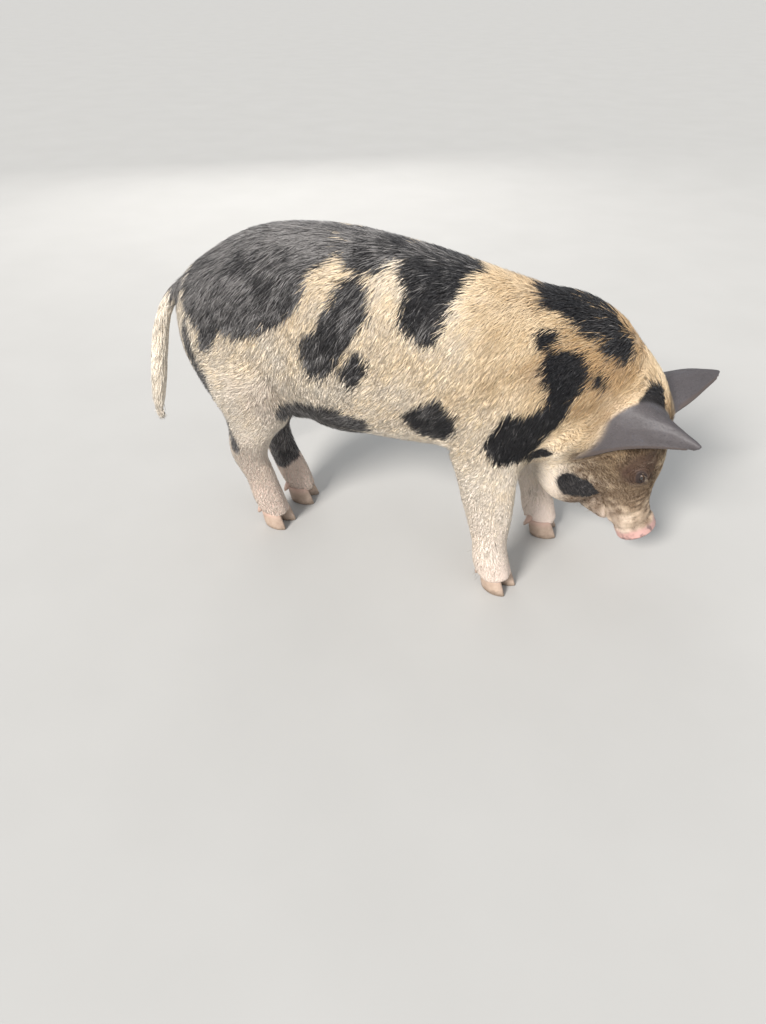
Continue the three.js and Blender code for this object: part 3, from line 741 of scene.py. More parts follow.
def black_level(p):
    """How far inside the black patches and the painted shade each point is, in millimetres, and below zero
    outside.
    """
    bent = p + WARP * np.stack([noise(p, 42, s) for s in (1, 2, 3)], -1)
    bent = bent + WARP * 0.35 * np.stack([noise(p, 14, s) for s in (4, 5, 6)], -1)
    level = np.full(len(p), -60.0)
    for *at, a, b, c, tilt in BLACK_AND_SHADE_EGGS:
        x, y, z = (bent - at).T
        forward, up = turned(x, z, -np.radians(tilt))
        level = -blended(-level, egg_distance(forward, y, up, a, b, c), 10)
    return level


print("Black patches:", len(BLACK_AND_SHADE_EGGS))


# %% Warm and rosy places
WARM = [  # middle, reach and strength
    ((340, 0, 460), 170, 1.0), ((225, 0, 540), 125, 0.78), ((190, 0, 440), 120, 0.7),
    ((60, 0, 480), 140, 0.5), ((-90, 0, 520), 130, 0.5), ((-250, 0, 500), 120, 0.34),
    ((420, 40, 330), 120, 0.95), ((60, 0, 350), 70, 0.42), ((470, 52, 190), 96, 0.74),
]


def warmth(p):
    """From ivory at 0 to golden at 1."""
    total = np.zeros(len(p))
    for at, reach, strength in WARM:
        total = np.maximum(total, strength * bump(np.linalg.norm((p - at) * (1, 0.5, 1), axis=1), reach))
    total = total + 0.12 * noise(p, 60, 7) + 0.1 * noise(p, 24, 8)
    return np.clip(total, 0, 1) * step(p[:, 0], -440, -390)


def rosiness_and_leg_shade(p):
    """How much of the pink skin and the dust show through, most on the feet, hind legs and lips, with painted
    shade added on the lower hind legs.
    """
    # the added hind-leg term darkens them below 300 mm as painted shade, over their pink and dust
    feet = step(-p[:, 2], -300, -40) + 0.8 * step(-p[:, 2], -300, -200) * (p[:, 0] < -150)
    flank = bump(np.linalg.norm((p - (-222, 0, 352)) * (1, 0, 1), axis=1), 66)
    return np.clip(0.12 + 0.6 * feet + 0.6 * flank + 0.12 * noise(p, 40, 9), 0, 1)


def grey_hair_and_sheen(p):
    """How many grey hairs the black patches have, and how much sheen is painted into them: most on the rump
    and back, fewest on the neck.
    """
    # grey hairs, with painted sunlit sheen growing towards the rump
    level = np.interp(p[:, 0], [-350, -100, 60, 260], [0.75, 0.55, 0.35, 0.12])
    # painted sky sheen along the top of the back
    return np.clip(level + 0.2 * step(p[:, 2], 585, 625) + 0.15 * noise(p, 50, 12), 0, 1)


def brownness(p):
    """The face's brown hair, deepened to paint the ears' shade over it: cheeks and sockets, but not the bridge
    of the nose, the muzzle or the jowls.
    """
    x, y, z = in_head(*p.T)
    stripe = bump(y / 17, 1) * step(z, 10, 40) * step(x, 20, 60)
    pale = np.maximum(step(x, 150, 222) * 0.55, step(-z, 62, 104) * step(-x, -100, -50) * 0.9)
    # deep enough to paint the ears' shade over the face as well as its brown hair
    brown = np.clip(1.15 - 0.8 * stripe - pale + 0.5 * noise(p, 12, 13), 0, 1)
    return step(x, -14, 50) * step(p[:, 0], 300, 340) * brown


# %% [markdown]
# ## What the skin's points carry
#
# Each point of the skin stores how black, warm, rosy and brown it is, where black, rosy and brown also carry
# painted shade, and whether it belongs to an ear, the snout or the painted shade round an eye's socket. The
# material reads these by name.


# %% Skin attributes
def store(piece, **values):
    """Stores values on a piece's points, each by its name."""
    for name, value in values.items():
        attribute = piece.data.attributes.new(name, "FLOAT", "POINT")
        attribute.data.foreach_set("value", np.asarray(value, np.float32).ravel())


def on_ears(p):
    """How much each point belongs to an ear's blade, and to its rim. The blade's share fades out from 2 to 9
    mm off the ear, so it also darkens the skin and hair at the ear's root as painted shade.
    """
    blade, rim = np.zeros(len(p)), np.zeros(len(p))
    for ear in ears.values():
        found = ear.nearest(p)
        u, v = ear.sheet["u"][found], ear.sheet["v"][found]
        # the soft edge out to 9 mm off the ear paints shade on the skin and hair at the ear's root
        share = step(-ear.level(p, found), -9, -2) * step(u, -0.08, 0.01) * (found >= 0)
        blade = np.maximum(blade, share)
        rim = np.maximum(rim, share * step(np.abs(v), 0.93, 0.98) * step(u, 0.02, 0.1))
    return blade, rim


def face_places(p):
    """How much each point belongs to the snout's disc, to the painted shade of the ears round an eye's socket,
    and to a lid.
    """
    x, y, z = in_head(*p.T)
    snout = step(x + 0.17 * z + 3 * noise(p, 7, 14), 237, 248)
    out, along, up = eye_ways(x, y, z)
    lids = step(-np.hypot(along * 0.72, up * 1.1), -14, -10) * step(out, 3, 7)
    ex, ey, ez = from_eye(x, y, z)
    # the socket's share is painted shade: the ears' shadow over the eye, centred 14 mm behind the eye
    hollow = np.hypot(np.hypot((ex + 14) * 0.72, ey), ez * 0.9) + 7 * noise(p, 15, 16)
    return snout, step(-hollow, -42, -22), lids


blade, rim = on_ears(points)
snout, socket, lids = face_places(points)
store(
    skin, black=step(black_level(points), -2, 2), warm=warmth(points), rosy=rosiness_and_leg_shade(points),
    brown=brownness(points), ear=blade, rim=rim, snout=snout, socket=socket, lids=lids,
)
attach(skin, "root")
flesh_nodes = [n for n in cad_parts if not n.startswith(("claw", "dewclaw", "eye"))]
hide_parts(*flesh_nodes)
print("The skin stands for", len(flesh_nodes), "solids")

# %% [markdown]
# ## The lie of the coat
#
# On the back the hair points to the tail. It turns downwards over the flanks, nearly level over the thigh,
# and straight down on the legs. On the head it points from the snout to the nape, and on an ear from the root
# to the tip. The sides are given as a few places with the way that their hair points.

# %% Ways of the hair
LIE = [  # x and z of a place, and the way: 180 degrees is back and 270 is down
    (-300, 622, 196), (-100, 642, 196), (100, 614, 200), (-310, 520, 246), (-385, 470, 258), (-280, 390, 202),
    (-265, 300, 222), (-285, 180, 262), (-265, 60, 280), (-150, 520, 250), (-110, 420, 248), (-172, 335, 300),
    (-60, 320, 212), (110, 320, 216), (210, 530, 236), (180, 430, 238), (205, 310, 250), (210, 160, 268),
    (230, 50, 280), (330, 500, 212), (300, 400, 226), (330, 300, 226), (60, 400, 242), (40, 520, 248),
]


def lie(p, normals, turn):
    """The way that the hair points at points p, along the skin, turned by some degrees."""
    total = np.zeros((len(p), 3))
    for x, z, way in LIE:
        share = 1 / (((p[:, 0] - x) ** 2 + (p[:, 2] - z) ** 2) / 40**2 + 1) ** 2
        a = np.radians(way)
        total += share[:, None] * (np.cos(a), 0, np.sin(a))
    total = unit(total)
    total[:, 1] += np.clip(p[:, 1] / 110, -0.3, 0.3) * step(p[:, 2], 500, 600)
    head_back = moved((-1, 0, -0.12), head_frame) - head_frame[:3, 3]
    hx, hy, hz = in_head(*p.T)
    head_share = step(hx + 0.33 * hz, -95, -5) * (p[:, 0] > 270)
    total += (head_back - total) * head_share[:, None]
    tail_share = step(-p[:, 0], 405, 440)
    total += (np.array((-0.25, 0, -1.0)) - total) * tail_share[:, None]
    for ear in ears.values():
        found = ear.nearest(p)
        share = step(-ear.level(p, found), -5, 0) * step(ear.sheet["u"][found], -0.05, 0.05) * (found >= 0)
        total += (unit(ear.sheet["flow"][found]) - total) * share[:, None]
        # the hair behind an ear's root runs along it
        beside = step(-ear.level(p, found), -26, -6) * (1 - share) * (found >= 0) * 0.7
        total += (unit(ear.sheet["round"][found]) - total) * beside[:, None]
    total -= normals * (total * normals).sum(1, keepdims=True)
    total = unit(total)
    aside = np.cross(normals, total)
    a = np.radians(turn)[:, None]
    return total * np.cos(a) + aside * np.sin(a)


def hair_length(p):
    """Millimetres: long on the back, short on the legs, the face and the ears."""
    length = np.interp(p[:, 2], [30, 60, 110, 200, 300, 420, 600], [13, 10, 10, 14, 21, 29, 33])
    on_face = np.interp(in_head(*p.T)[0], [-90, -30, 60, 160, 230], [34, 26, 17, 11, 6])
    gap = np.min([ear.level(p, ear.nearest(p)) for ear in ears.values()], axis=0)
    blade, _ = on_ears(p)
    length = np.minimum(np.minimum(length, on_face), 7 + np.maximum(gap, 0)) * (1 - blade) + 7 * blade
    return length * (1 - 0.55 * step(face_places(p)[1], 0.5, 1))


# %% [markdown]
# ## Roots
#
# The roots are strewn over the skin by area, close together where the hair is short and fine. Bare places get
# none: the snout, the lids and the rims of the ears.


# %% Strewing roots over the skin
def hair_cover(p):
    """Tufts to a square millimetre."""
    blade, rim = on_ears(p)
    snout, _, lids = face_places(p)
    wanted = np.interp(hair_length(p), [6, 12, 20, 30], [0.185, 0.185, 0.158, 0.122])
    return wanted * (1 - 0.1 * blade) * (1 - rim) * (1 - snout) * (1 - lids) * (p[:, 2] > 22)


skin.data.calc_loop_triangles()
triangles = np.empty(len(skin.data.loop_triangles) * 3, np.int32)
skin.data.loop_triangles.foreach_get("vertices", triangles)
a, b, c = (points[triangles[i::3]] for i in range(3))
area = np.linalg.norm(np.cross(b - a, c - a), axis=1) / 2
wanted = area * hair_cover((a + b + c) / 3)
print("Skin, square metres:", round(area.sum() / 1e6, 3), " tufts wanted:", int(wanted.sum()))
count = int(wanted.sum())
pick = np.searchsorted(np.cumsum(wanted), (np.arange(count) + chance.random(count)) * wanted.sum() / count)
pick = np.minimum(pick, len(area) - 1)
s, t = np.sqrt(chance.random((count, 1))), chance.random((count, 1))
roots = a[pick] * (1 - s) + b[pick] * s * (1 - t) + c[pick] * s * t
normals = unit(steepest(on_skin, roots, 2.0)[1])
streaks = 9 * noise(roots, 60, 20) + 7 * noise(roots, 16, 21) + chance.normal(0, 6, count)
ways = lie(roots, normals, streaks)
length = hair_length(roots) * chance.uniform(0.75, 1.15, count)

# %% [markdown]
# ## A tuft
#
# A tuft is a small closed solid: narrow at the root, widest before the middle, with a ridge on top, and
# pointed. Eight triangles are enough for one of the coat, and the tail's long locks get more rings. Each
# ring is set at its own height over the skin, so a tuft follows the body's curves.

# %% Shapes of tufts
SHORT_TUFT = {
    "rings": (0, 0.42, 1),
    "corners": [(0, -0.5, 0), (0, 0.5, 0), (1, -1, 0), (1, 0, 0.55), (1, 1, 0), (2, 0, 0)],
    "faces": [(0, 2, 3), (0, 3, 1), (1, 3, 4), (2, 5, 3), (3, 5, 4), (0, 1, 4), (0, 4, 2), (2, 4, 5)],
}


def long_tuft(rings, widths):
    """A lock or bristle with three corners to a ring."""
    corners, faces = [], [(0, 1, 2)]
    for i, w in enumerate(widths):
        corners += [(i, -w, 0), (i, 0, 0.8 * w), (i, w, 0)]
    last = 3 * (len(widths) - 1)
    for k in range(0, last, 3):
        for m, n in ((0, 1), (1, 2), (2, 0)):
            faces += [(k + m, k + m + 3, k + n), (k + n, k + m + 3, k + n + 3)]
    corners.append((len(widths), 0, 0))
    faces += [(last, last + 3, last + 1), (last + 1, last + 3, last + 2), (last + 2, last + 3, last)]
    return {"rings": rings, "corners": corners, "faces": faces}


LOCK = long_tuft((0, 0.2, 0.5, 0.8, 1), (0.6, 1, 1, 0.7))
BRISTLE = long_tuft((0, 0.4, 0.75, 1), (1, 0.8, 0.5))


# %% Growing a piece of hair
PATCH = 0.003  # how wide a tuft's place on the unwrap is


def grow(
    name, roots, normals, ways, length, width, lift, patch, shape,
    follow=True, bend=0.1, droop=0.0, hold=7,
):
    """One piece of tufts. "lift" is how high the tips stand over the skin, "patch" is each root's place on
    the unwrap of the skin, and "hold" is how far a ring may be drawn in to follow the skin."""
    rings, count = shape["rings"], len(roots)
    curl = chance.normal(0, bend, (count, 1))
    at, up, way = roots - normals * 0.5, normals, ways
    line, ups = [at], [up]
    for last, t in zip(rings, rings[1:]):
        part = t - last
        way = unit(way + np.cross(up, way) * curl * part * 2 + np.array((0, 0, -droop)) * part)
        at = at + way * (length * part)[:, None]
        if follow:
            level, slope = steepest(on_skin, at, 2.0)
            up = unit(slope)
            lowest = np.where(roots[:, 2] < 70, -0.3, -hold)
            at = at + up * np.clip(lift * t**0.8 - level, lowest, 9)[:, None]
            way = unit(way - up * (way * up).sum(1, keepdims=True))
        line.append(at)
        ups.append(up)
    line, ups = np.array(line), np.array(ups)
    side = unit(np.cross(ups, np.gradient(line, axis=0)))
    roll = chance.normal(0, 0.4, (1, count, 1))
    side = side * np.cos(roll) + ups * np.sin(roll)
    ring, across, high = np.array(shape["corners"]).T
    ring = ring.astype(int)
    half = (width / 2)[None, :, None]
    where = line[ring] + side[ring] * across[:, None, None] * half + ups[ring] * high[:, None, None] * half
    size = len(ring)
    faces = np.array(shape["faces"])[None] + np.arange(count)[:, None, None] * size
    piece = mesh_from(name, where.transpose(1, 0, 2).reshape(-1, 3), faces.reshape(-1, 3))
    along = np.array(rings)[ring]
    place = patch[:, None] + PATCH * np.stack([along, 0.5 + 0.5 * across], -1)[None]
    unwrap = piece.data.uv_layers.new(name="OFBake")
    unwrap.data.foreach_set("uv", place.reshape(-1, 2)[faces.ravel()].astype(np.float32).ravel())
    middle = roots + ways * (0.2 * length)[:, None]
    black = step(black_level(middle) + chance.normal(0, 0.12, count) * length, -0.5, 0.5)
    tint = 0.5 + 0.3 * noise(roots, 7, 30) + 0.22 * noise(roots, 19, 31)
    tint = np.clip(tint + chance.uniform(-0.36, 0.36, count), 0, 1)
    store(piece, along=np.tile(along, count))
    each = {
        "black": black, "warm": warmth(middle), "tint": tint, "ear": on_ears(roots)[0],
        "socket": face_places(roots)[1], "grey_and_sheen": grey_hair_and_sheen(middle), "brown": brownness(roots),
        "rosy": rosiness_and_leg_shade(roots),
    }
    store(piece, **{name: np.repeat(value, size) for name, value in each.items()})
    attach(piece, "root")
    print(name, "has", count, "tufts and", len(faces) * faces.shape[1], "triangles")
    return piece


# %% [markdown]
# ## The coat, part by part
#
# The coat is parted where a person would name its parts. Each part has its own unwrap: along the body and
# round it, or up a leg and round it.

# %% Parts of the coat
def centre(stations, axis, values):
    """The other two coordinates of a line of stations, read at values along one axis."""
    line = np.array(sorted(stations, key=lambda station: station[axis]), float)
    return (np.interp(values, line[:, axis], line[:, i]) for i in range(3) if i != axis)


x, y, z = roots.T
spine_y, _ = centre(TRUNK, 0, x)
tail_here = sample(tail, roots) < sample(body, roots)
head_here = on_head(roots) & ~tail_here
right = np.where(head_here, in_head(x, y, z)[1] < 0, y < spine_y)
side_name = np.where(right, "right", "left")
kind = np.select(
    [
        tail_here, head_here, (z < 290) & (x > 120) & (x < 350), (z < 300) & (x < -150),
        x < -190, x < 0, x < 190,
    ],
    ["tail", "face", "foreleg", "hindleg", "rump", "flank", "shoulder"], "neck",
)


def unwrapped(part, name, p):
    """Places from 0 to 1 on the unwrap of one part."""
    if part == "face":
        along, out, up = in_head(*p.T)
    elif part in ("foreleg", "hindleg"):
        x, y = centre(LEGS[name], 2, p[:, 2])
        along, out, up = p[:, 2], p[:, 1] - y, p[:, 0] - x
    else:
        y, z = centre(TRUNK, 0, p[:, 0])
        along, out, up = p[:, 0], p[:, 1] - y, p[:, 2] - z
    angle = np.arctan2(out, up) / (2 * np.pi)
    place = np.stack([along, angle % 1.0 if part == "face" else angle], 1)
    place = (place - place.min(0)) / np.maximum(np.ptp(place, axis=0), 1e-6)
    return 0.004 + 0.988 * place


# %% The coat's pieces, without the tufts that would pass through an ear
root_blade = on_ears(roots)[0]
free = np.ones(len(roots), bool)
for share in (0.5, 1):
    free &= (root_blade >= 0.5) | (on_ears(roots + ways * length[:, None] * share)[0] <= 0.2)
coat = []
for part in ("rump", "flank", "shoulder", "neck", "foreleg", "hindleg", "face"):
    for side in ("right", "left"):
        mine = (kind == part) & (side_name == side) & free
        name = part + "_" + side
        p, long = roots[mine], length[mine]
        bare = 1 - root_blade[mine]
        width = np.interp(long, [5, 12, 32], [0.65, 0.9, 1.45]) * chance.uniform(0.7, 1.2, len(p))
        width = width * (0.55 + 0.45 * bare)
        lift = (coat_depth(*p.T) * bare + 0.5 * (1 - bare)) * chance.uniform(0.3, 0.75, len(p))
        patch = unwrapped(part, name, p)
        piece = grow("coat_" + name, p, normals[mine], ways[mine], long, width, lift, patch, SHORT_TUFT)
        coat.append(piece)

# %% [markdown]
# ## The tail's hair
#
# The tail hangs, and its long hair makes a tassel that comes to a point.

# %% Tassel
TASSEL_LOCKS = 3000
mine = chance.choice(np.flatnonzero((kind == "tail") & (normals[:, 2] > -0.6)), TASSEL_LOCKS)
p = roots[mine]
room = np.interp(p[:, 2], [215, 260, 420, 500], [34, 84, 90, 46])
long = np.minimum(room, p[:, 2] - 192) * chance.uniform(0.8, 1.1, len(p))
middle_x, _ = centre(TAIL, 2, p[:, 2])
angle = np.arctan2(p[:, 1], p[:, 0] - middle_x) / (2 * np.pi) + 0.5
patch = np.stack([angle, (p[:, 2] - 150) / 400], 1) * 0.98 + 0.004
width, lift = chance.uniform(0.9, 1.7, len(p)), chance.uniform(0.5, 3.5, len(p))
tassel = grow("tail_tassel", p, normals[mine], ways[mine], long, width, lift, patch, LOCK, bend=0.04, hold=1)
coat.append(tassel)

# %% [markdown]
# ## Lashes and whiskers
#
# Stiff bristles stand out from the muzzle, chin and brows, and a row of lashes from each upper lid.

# %% Bristles
MUZZLE_BRISTLES, BROW_BRISTLES, LASHES = 170, 40, 22
hx, hy, hz = in_head(*roots.T)
eye_off = np.linalg.norm(from_eye(hx, hy, hz), axis=0)
on_muzzle = chance.choice(np.flatnonzero((hx > 150) & (hx < 236) & (hz < 10)), MUZZLE_BRISTLES)
above_eye = (eye_off > 17) & (eye_off < 30) & (hz > EYE["at"][2] + 4)
on_brow = chance.choice(np.flatnonzero(above_eye), BROW_BRISTLES)
few = np.concatenate([on_muzzle, on_brow])
at, out_of = roots[few], normals[few]
lean = lie(at, out_of, np.zeros(len(few)))
way = unit(out_of * 0.75 + lean * 0.8 + chance.normal(0, 0.2, (len(few), 3)))
long = [chance.uniform(9, 24, MUZZLE_BRISTLES), chance.uniform(8, 17, BROW_BRISTLES)]
lashes = []
for side in (-1, 1):
    for a in np.linspace(-9.5, 9.5, LASHES):
        high = 5.6 * (1 - (a / 11) ** 2)
        forward = np.sqrt((EYE["radius"] + 0.9) ** 2 - a**2 - high**2)
        lid_edge = np.array(EYE["at"]) + EYE_ALONG * a + EYE_UP * high + EYE_OUT * forward
        outwards = EYE_OUT * 0.9 + EYE_UP * 0.5 + EYE_ALONG * a * 0.03
        turns = [head_frame[:3, :3] @ (w * (1, side, 1)) for w in (outwards, EYE_UP)]
        lashes.append([moved(lid_edge * (1, side, 1), head_frame), *turns])
lashes = np.array(lashes)
at, way = np.concatenate([at, lashes[:, 0]]), np.concatenate([way, unit(lashes[:, 1])])
out_of, long = np.concatenate([out_of, lashes[:, 2]]), np.concatenate([*long, np.full(len(lashes), 10.0)])
width = np.full(len(at), 0.75)
whiskers = grow(
    "whiskers", at, out_of, way, long, width, 0, unwrapped("face", "", at), BRISTLE,
    follow=False, bend=0.3, droop=0.25,
)

# %% [markdown]
# ## Eyes
#
# A pig's eye is small and dark brown, with a clear bulge over the iris. Each globe sits in the socket behind
# the lids, where the solid eye is.


# %% Eyeballs
def eyeball(side):
    """A globe with a bulge over the iris, and on each point how far it is from the pupil's middle."""
    name = "right" if side < 0 else "left"
    net = bmesh.new()
    bmesh.ops.create_uvsphere(net, u_segments=64, v_segments=48, radius=1.0)
    ball = np.array([v.co for v in net.verts])
    faces = [[v.index for v in f.verts] for f in net.faces]
    net.free()
    aim = np.array(Vector((0, 0, 1)).rotation_difference(Vector(EYE_OUT * (1, side, 1))).to_matrix())
    angle = np.arccos(np.clip(ball[:, 2], -1, 1))
    radius = EYE["radius"] - 0.25 + 0.7 * bump(angle, 0.5)
    at = (ball * radius[:, None]) @ aim.T + np.array(EYE["at"]) * (1, side, 1)
    triangles = sorted((f[0], f[i], f[i + 1]) for f in faces for i in range(1, len(f) - 1))
    piece = mesh_from("eyeball_" + name, moved(at, head_frame), triangles)
    store(piece, from_pupil=angle * EYE["radius"])
    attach(piece, "root")
    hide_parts("eye_" + name)
    return piece


eyes = [eyeball(side) for side in (-1, 1)]

# %% [markdown]
# ## Claws
#
# Each toe ends in a claw with a flat sole, a rounded toe and walls that lean back. Two small dewclaws hang
# behind. They keep the solids' sizes, with rounder walls and a smooth rim.

# %% Claws and dewclaws
CLAW = {"length": 54, "width": 25, "height": 46, "gap": 3, "splay": 7, "lean": 15}


def ring_walls(rings, start=0):
    """Triangles of a closed shell through rings of points, with flat ends."""
    n = len(rings[0])
    faces = []
    for i in range(len(rings) - 1):
        for k in range(n):
            a, b = start + i * n + k, start + i * n + (k + 1) % n
            faces += [(a, b, b + n), (a, b + n, a + n)]
    top = start + (len(rings) - 1) * n
    for k in range(1, n - 1):
        faces += [(start, start + k + 1, start + k), (top, top + k, top + k + 1)]
    return faces


def toe_ring(foot, x, y, z, turn, at):
    """One ring of a claw, turned outwards and put at its place on the foot."""
    x, y = turned(x, y, np.radians(turn))
    return moved(np.stack([x + at[0], y + at[1], z + 0 * x], 1), foot)


def claw(foot, way, around=40):
    """Rings of one claw, from the sole to inside the coronet."""
    angle = np.linspace(0, 2 * np.pi, around, endpoint=False)
    half, wide = CLAW["length"] / 2, CLAW["width"] / 2
    place = (-half, way * (CLAW["width"] + CLAW["gap"]) / 2)
    rings = []
    for high in (0, 0.6, 2, 5, 9, 14, 20, 26, 32, 37, 40):
        t = high / CLAW["height"]
        rim = np.interp(high, [0, 0.6, 2, 5], [0.9, 0.955, 0.985, 1.0])
        forward = np.cos(angle) * half * rim * (1.01 - 0.16 * t)
        narrow = np.where(forward > 0, 1 - 0.35 * (forward / half) ** 2, 1)
        across = np.sin(angle) * wide * rim * narrow * (1.04 + 0.05 * np.sin(np.pi * t))
        across = np.where(across * way < 0, across * 0.9, across)
        ridge = 0.25 * np.sin(high * 1.1) * (high > 5)
        forward = forward + ridge * np.cos(angle) - CLAW["lean"] * t + half
        rings.append(toe_ring(foot, forward, across, high, CLAW["splay"] * way, place))
    return rings


def dewclaw(foot, way, around=20):
    """Rings of one dewclaw, from its tip up into the skin."""
    angle = np.linspace(0, 2 * np.pi, around, endpoint=False)
    place = (-DEWCLAW["back"], way * DEWCLAW["apart"])
    rings = []
    for t, size in ((0, 0.12), (0.04, 0.4), (0.14, 0.68), (0.35, 0.88), (0.65, 1), (1, 1)):
        x = np.interp(t, [0, 1], [-9, 9]) + np.cos(angle) * size * (6 + 5 * t)
        y = np.sin(angle) * size * (5.8 + 1.6 * t)
        z = np.interp(t, [0, 1], [22.5, 57]) + np.cos(angle) * 3 * t
        rings.append(toe_ring(foot, x, y, z, 10 * way, place))
    return rings


# %% The four feet's claws
claws = []
for name in FEET:
    foot = foot_frame(name)
    at, faces = [], []
    for way in (-1, 1):
        for rings in (claw(foot, way), dewclaw(foot, way)):
            faces += ring_walls(rings, sum(len(r) for r in at))
            at += rings
    piece = mesh_from("claws_" + name, np.concatenate(at), faces)
    store(piece, high=points_of(piece)[:, 2])
    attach(piece, "root")
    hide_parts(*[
        f"{claw_kind}_{half}_{name}" for claw_kind in ("claw", "dewclaw") for half in ("inner", "outer")
    ])
    claws.append(piece)
print("Claws:", [len(c.data.polygons) for c in claws])

# %% [markdown]
# ## Shader maths
#
# A small class wraps the output of a node, so that the maths of a material reads as Python. One method makes
# any other node.


# %% Values
class Value:
    """The output of a node in a look."""

    def __init__(self, look, socket):
        self.look, self.socket = look, socket

    def maths(self, operation, a, b, clamp=False):
        return self.look.node("ShaderNodeMath", {"operation": operation, "use_clamp": clamp}, {0: a, 1: b})

    def __add__(self, other): return self.maths("ADD", self, other)
    def __radd__(self, other): return self.maths("ADD", other, self)
    def __sub__(self, other): return self.maths("SUBTRACT", self, other)
    def __rsub__(self, other): return self.maths("SUBTRACT", other, self)
    def __mul__(self, other): return self.maths("MULTIPLY", self, other)
    def __rmul__(self, other): return self.maths("MULTIPLY", other, self)
    def clamped(self): return self.maths("ADD", self, 0.0, True)


# %% Looks
class Look:
    """A material, and the nodes of its surface."""

    def __init__(self, name):
        self.material = bpy.data.materials.new(name)
        self.material.use_nodes = True
        self.tree = self.material.node_tree
        self.tree.nodes.clear()

    def feed(self, socket, value):
        """Links a value to a socket, or sets the socket to a number or a colour."""
        if isinstance(value, Value):
            self.tree.links.new(value.socket, socket)
        else:
            socket.default_value = value

    def node(self, kind, settings={}, inputs={}, output=0):
        made = self.tree.nodes.new(kind)
        for key, value in settings.items():
            setattr(made, key, value)
        for key, value in inputs.items():
            self.feed(made.inputs[key], value)
        return Value(self, made.outputs[output])

    def stored(self, *names):
        """The values that the points of the mesh store by these names."""
        made = [self.node("ShaderNodeAttribute", {"attribute_name": name}, {}, "Fac") for name in names]
        return made if len(made) > 1 else made[0]

    def mixed(self, share, a, b, blend="MIX"):
        a, b = (v if isinstance(v, Value) else (*v, 1) for v in (a, b))
        settings = {"data_type": "RGBA", "blend_type": blend, "clamp_factor": True}
        return self.node("ShaderNodeMix", settings, {0: share, 6: a, 7: b}, 2)

    def layered(self, colour, *layers):
        """A colour with others laid over it in turn, each by its share."""
        for share, other in layers:
            colour = self.mixed(share, colour, other)
        return colour

    def grain(self, size, detail=2.0, stretch=None):
        """Noise with lumps about size metres across, in the model's own coordinates."""
        place = self.node("ShaderNodeTexCoord", {}, {}, "Object")
        if stretch:
            place = self.node("ShaderNodeMapping", {}, {"Vector": place, "Scale": stretch})
        inputs = {"Vector": place, "Scale": 1 / size, "Detail": detail}
        return self.node("ShaderNodeTexNoise", {}, inputs, "Fac")

    def relief(self, height, distance):
        """A normal that is roughened by a height."""
        return self.node("ShaderNodeBump", {}, {"Strength": 0.5, "Distance": distance, "Height": height})

    def surface(self, pieces, **inputs):
        shader = self.tree.nodes.new("ShaderNodeBsdfPrincipled")
        for key, value in inputs.items():
            socket = shader.inputs[key.replace("_", " ").title().replace("Ior", "IOR")]
            self.feed(socket, (*value, 1) if isinstance(value, tuple) else value)
        output = self.tree.nodes.new("ShaderNodeOutputMaterial")
        self.tree.links.new(shader.outputs[0], output.inputs[0])
        for piece in pieces:
            piece.data.materials.clear()
            piece.data.materials.append(self.material)


# %% [markdown]
# ## The hair's look
#
# Light hair goes from ivory to gold, darker at the root, and each tuft has its own tint. Black hair has some
# grey hairs and a brown-grey sheen, and the sheen is painted as lighter tufts, most on the rump and the top of
# the back.
# Bristle reflects light along its length, which a middling roughness gives.

# %% Hair
IVORY, CREAM, GOLD = (0.92, 0.885, 0.815), (0.91, 0.77, 0.55), (0.46, 0.305, 0.145)
DARK_BROWN_AND_SHADE, JET, SLATE = (0.085, 0.046, 0.02), (0.007, 0.007, 0.009), (0.05, 0.047, 0.048)
GREY_HAIR_SHEEN, EAR_HAIR, EAR_BLUE_SHEEN = (0.46, 0.435, 0.42), (0.17, 0.14, 0.135), (0.135, 0.14, 0.17)


def light_hair(look, warm):
    return look.mixed((warm - 0.5) * 2, look.mixed(warm * 2, IVORY, CREAM), GOLD)


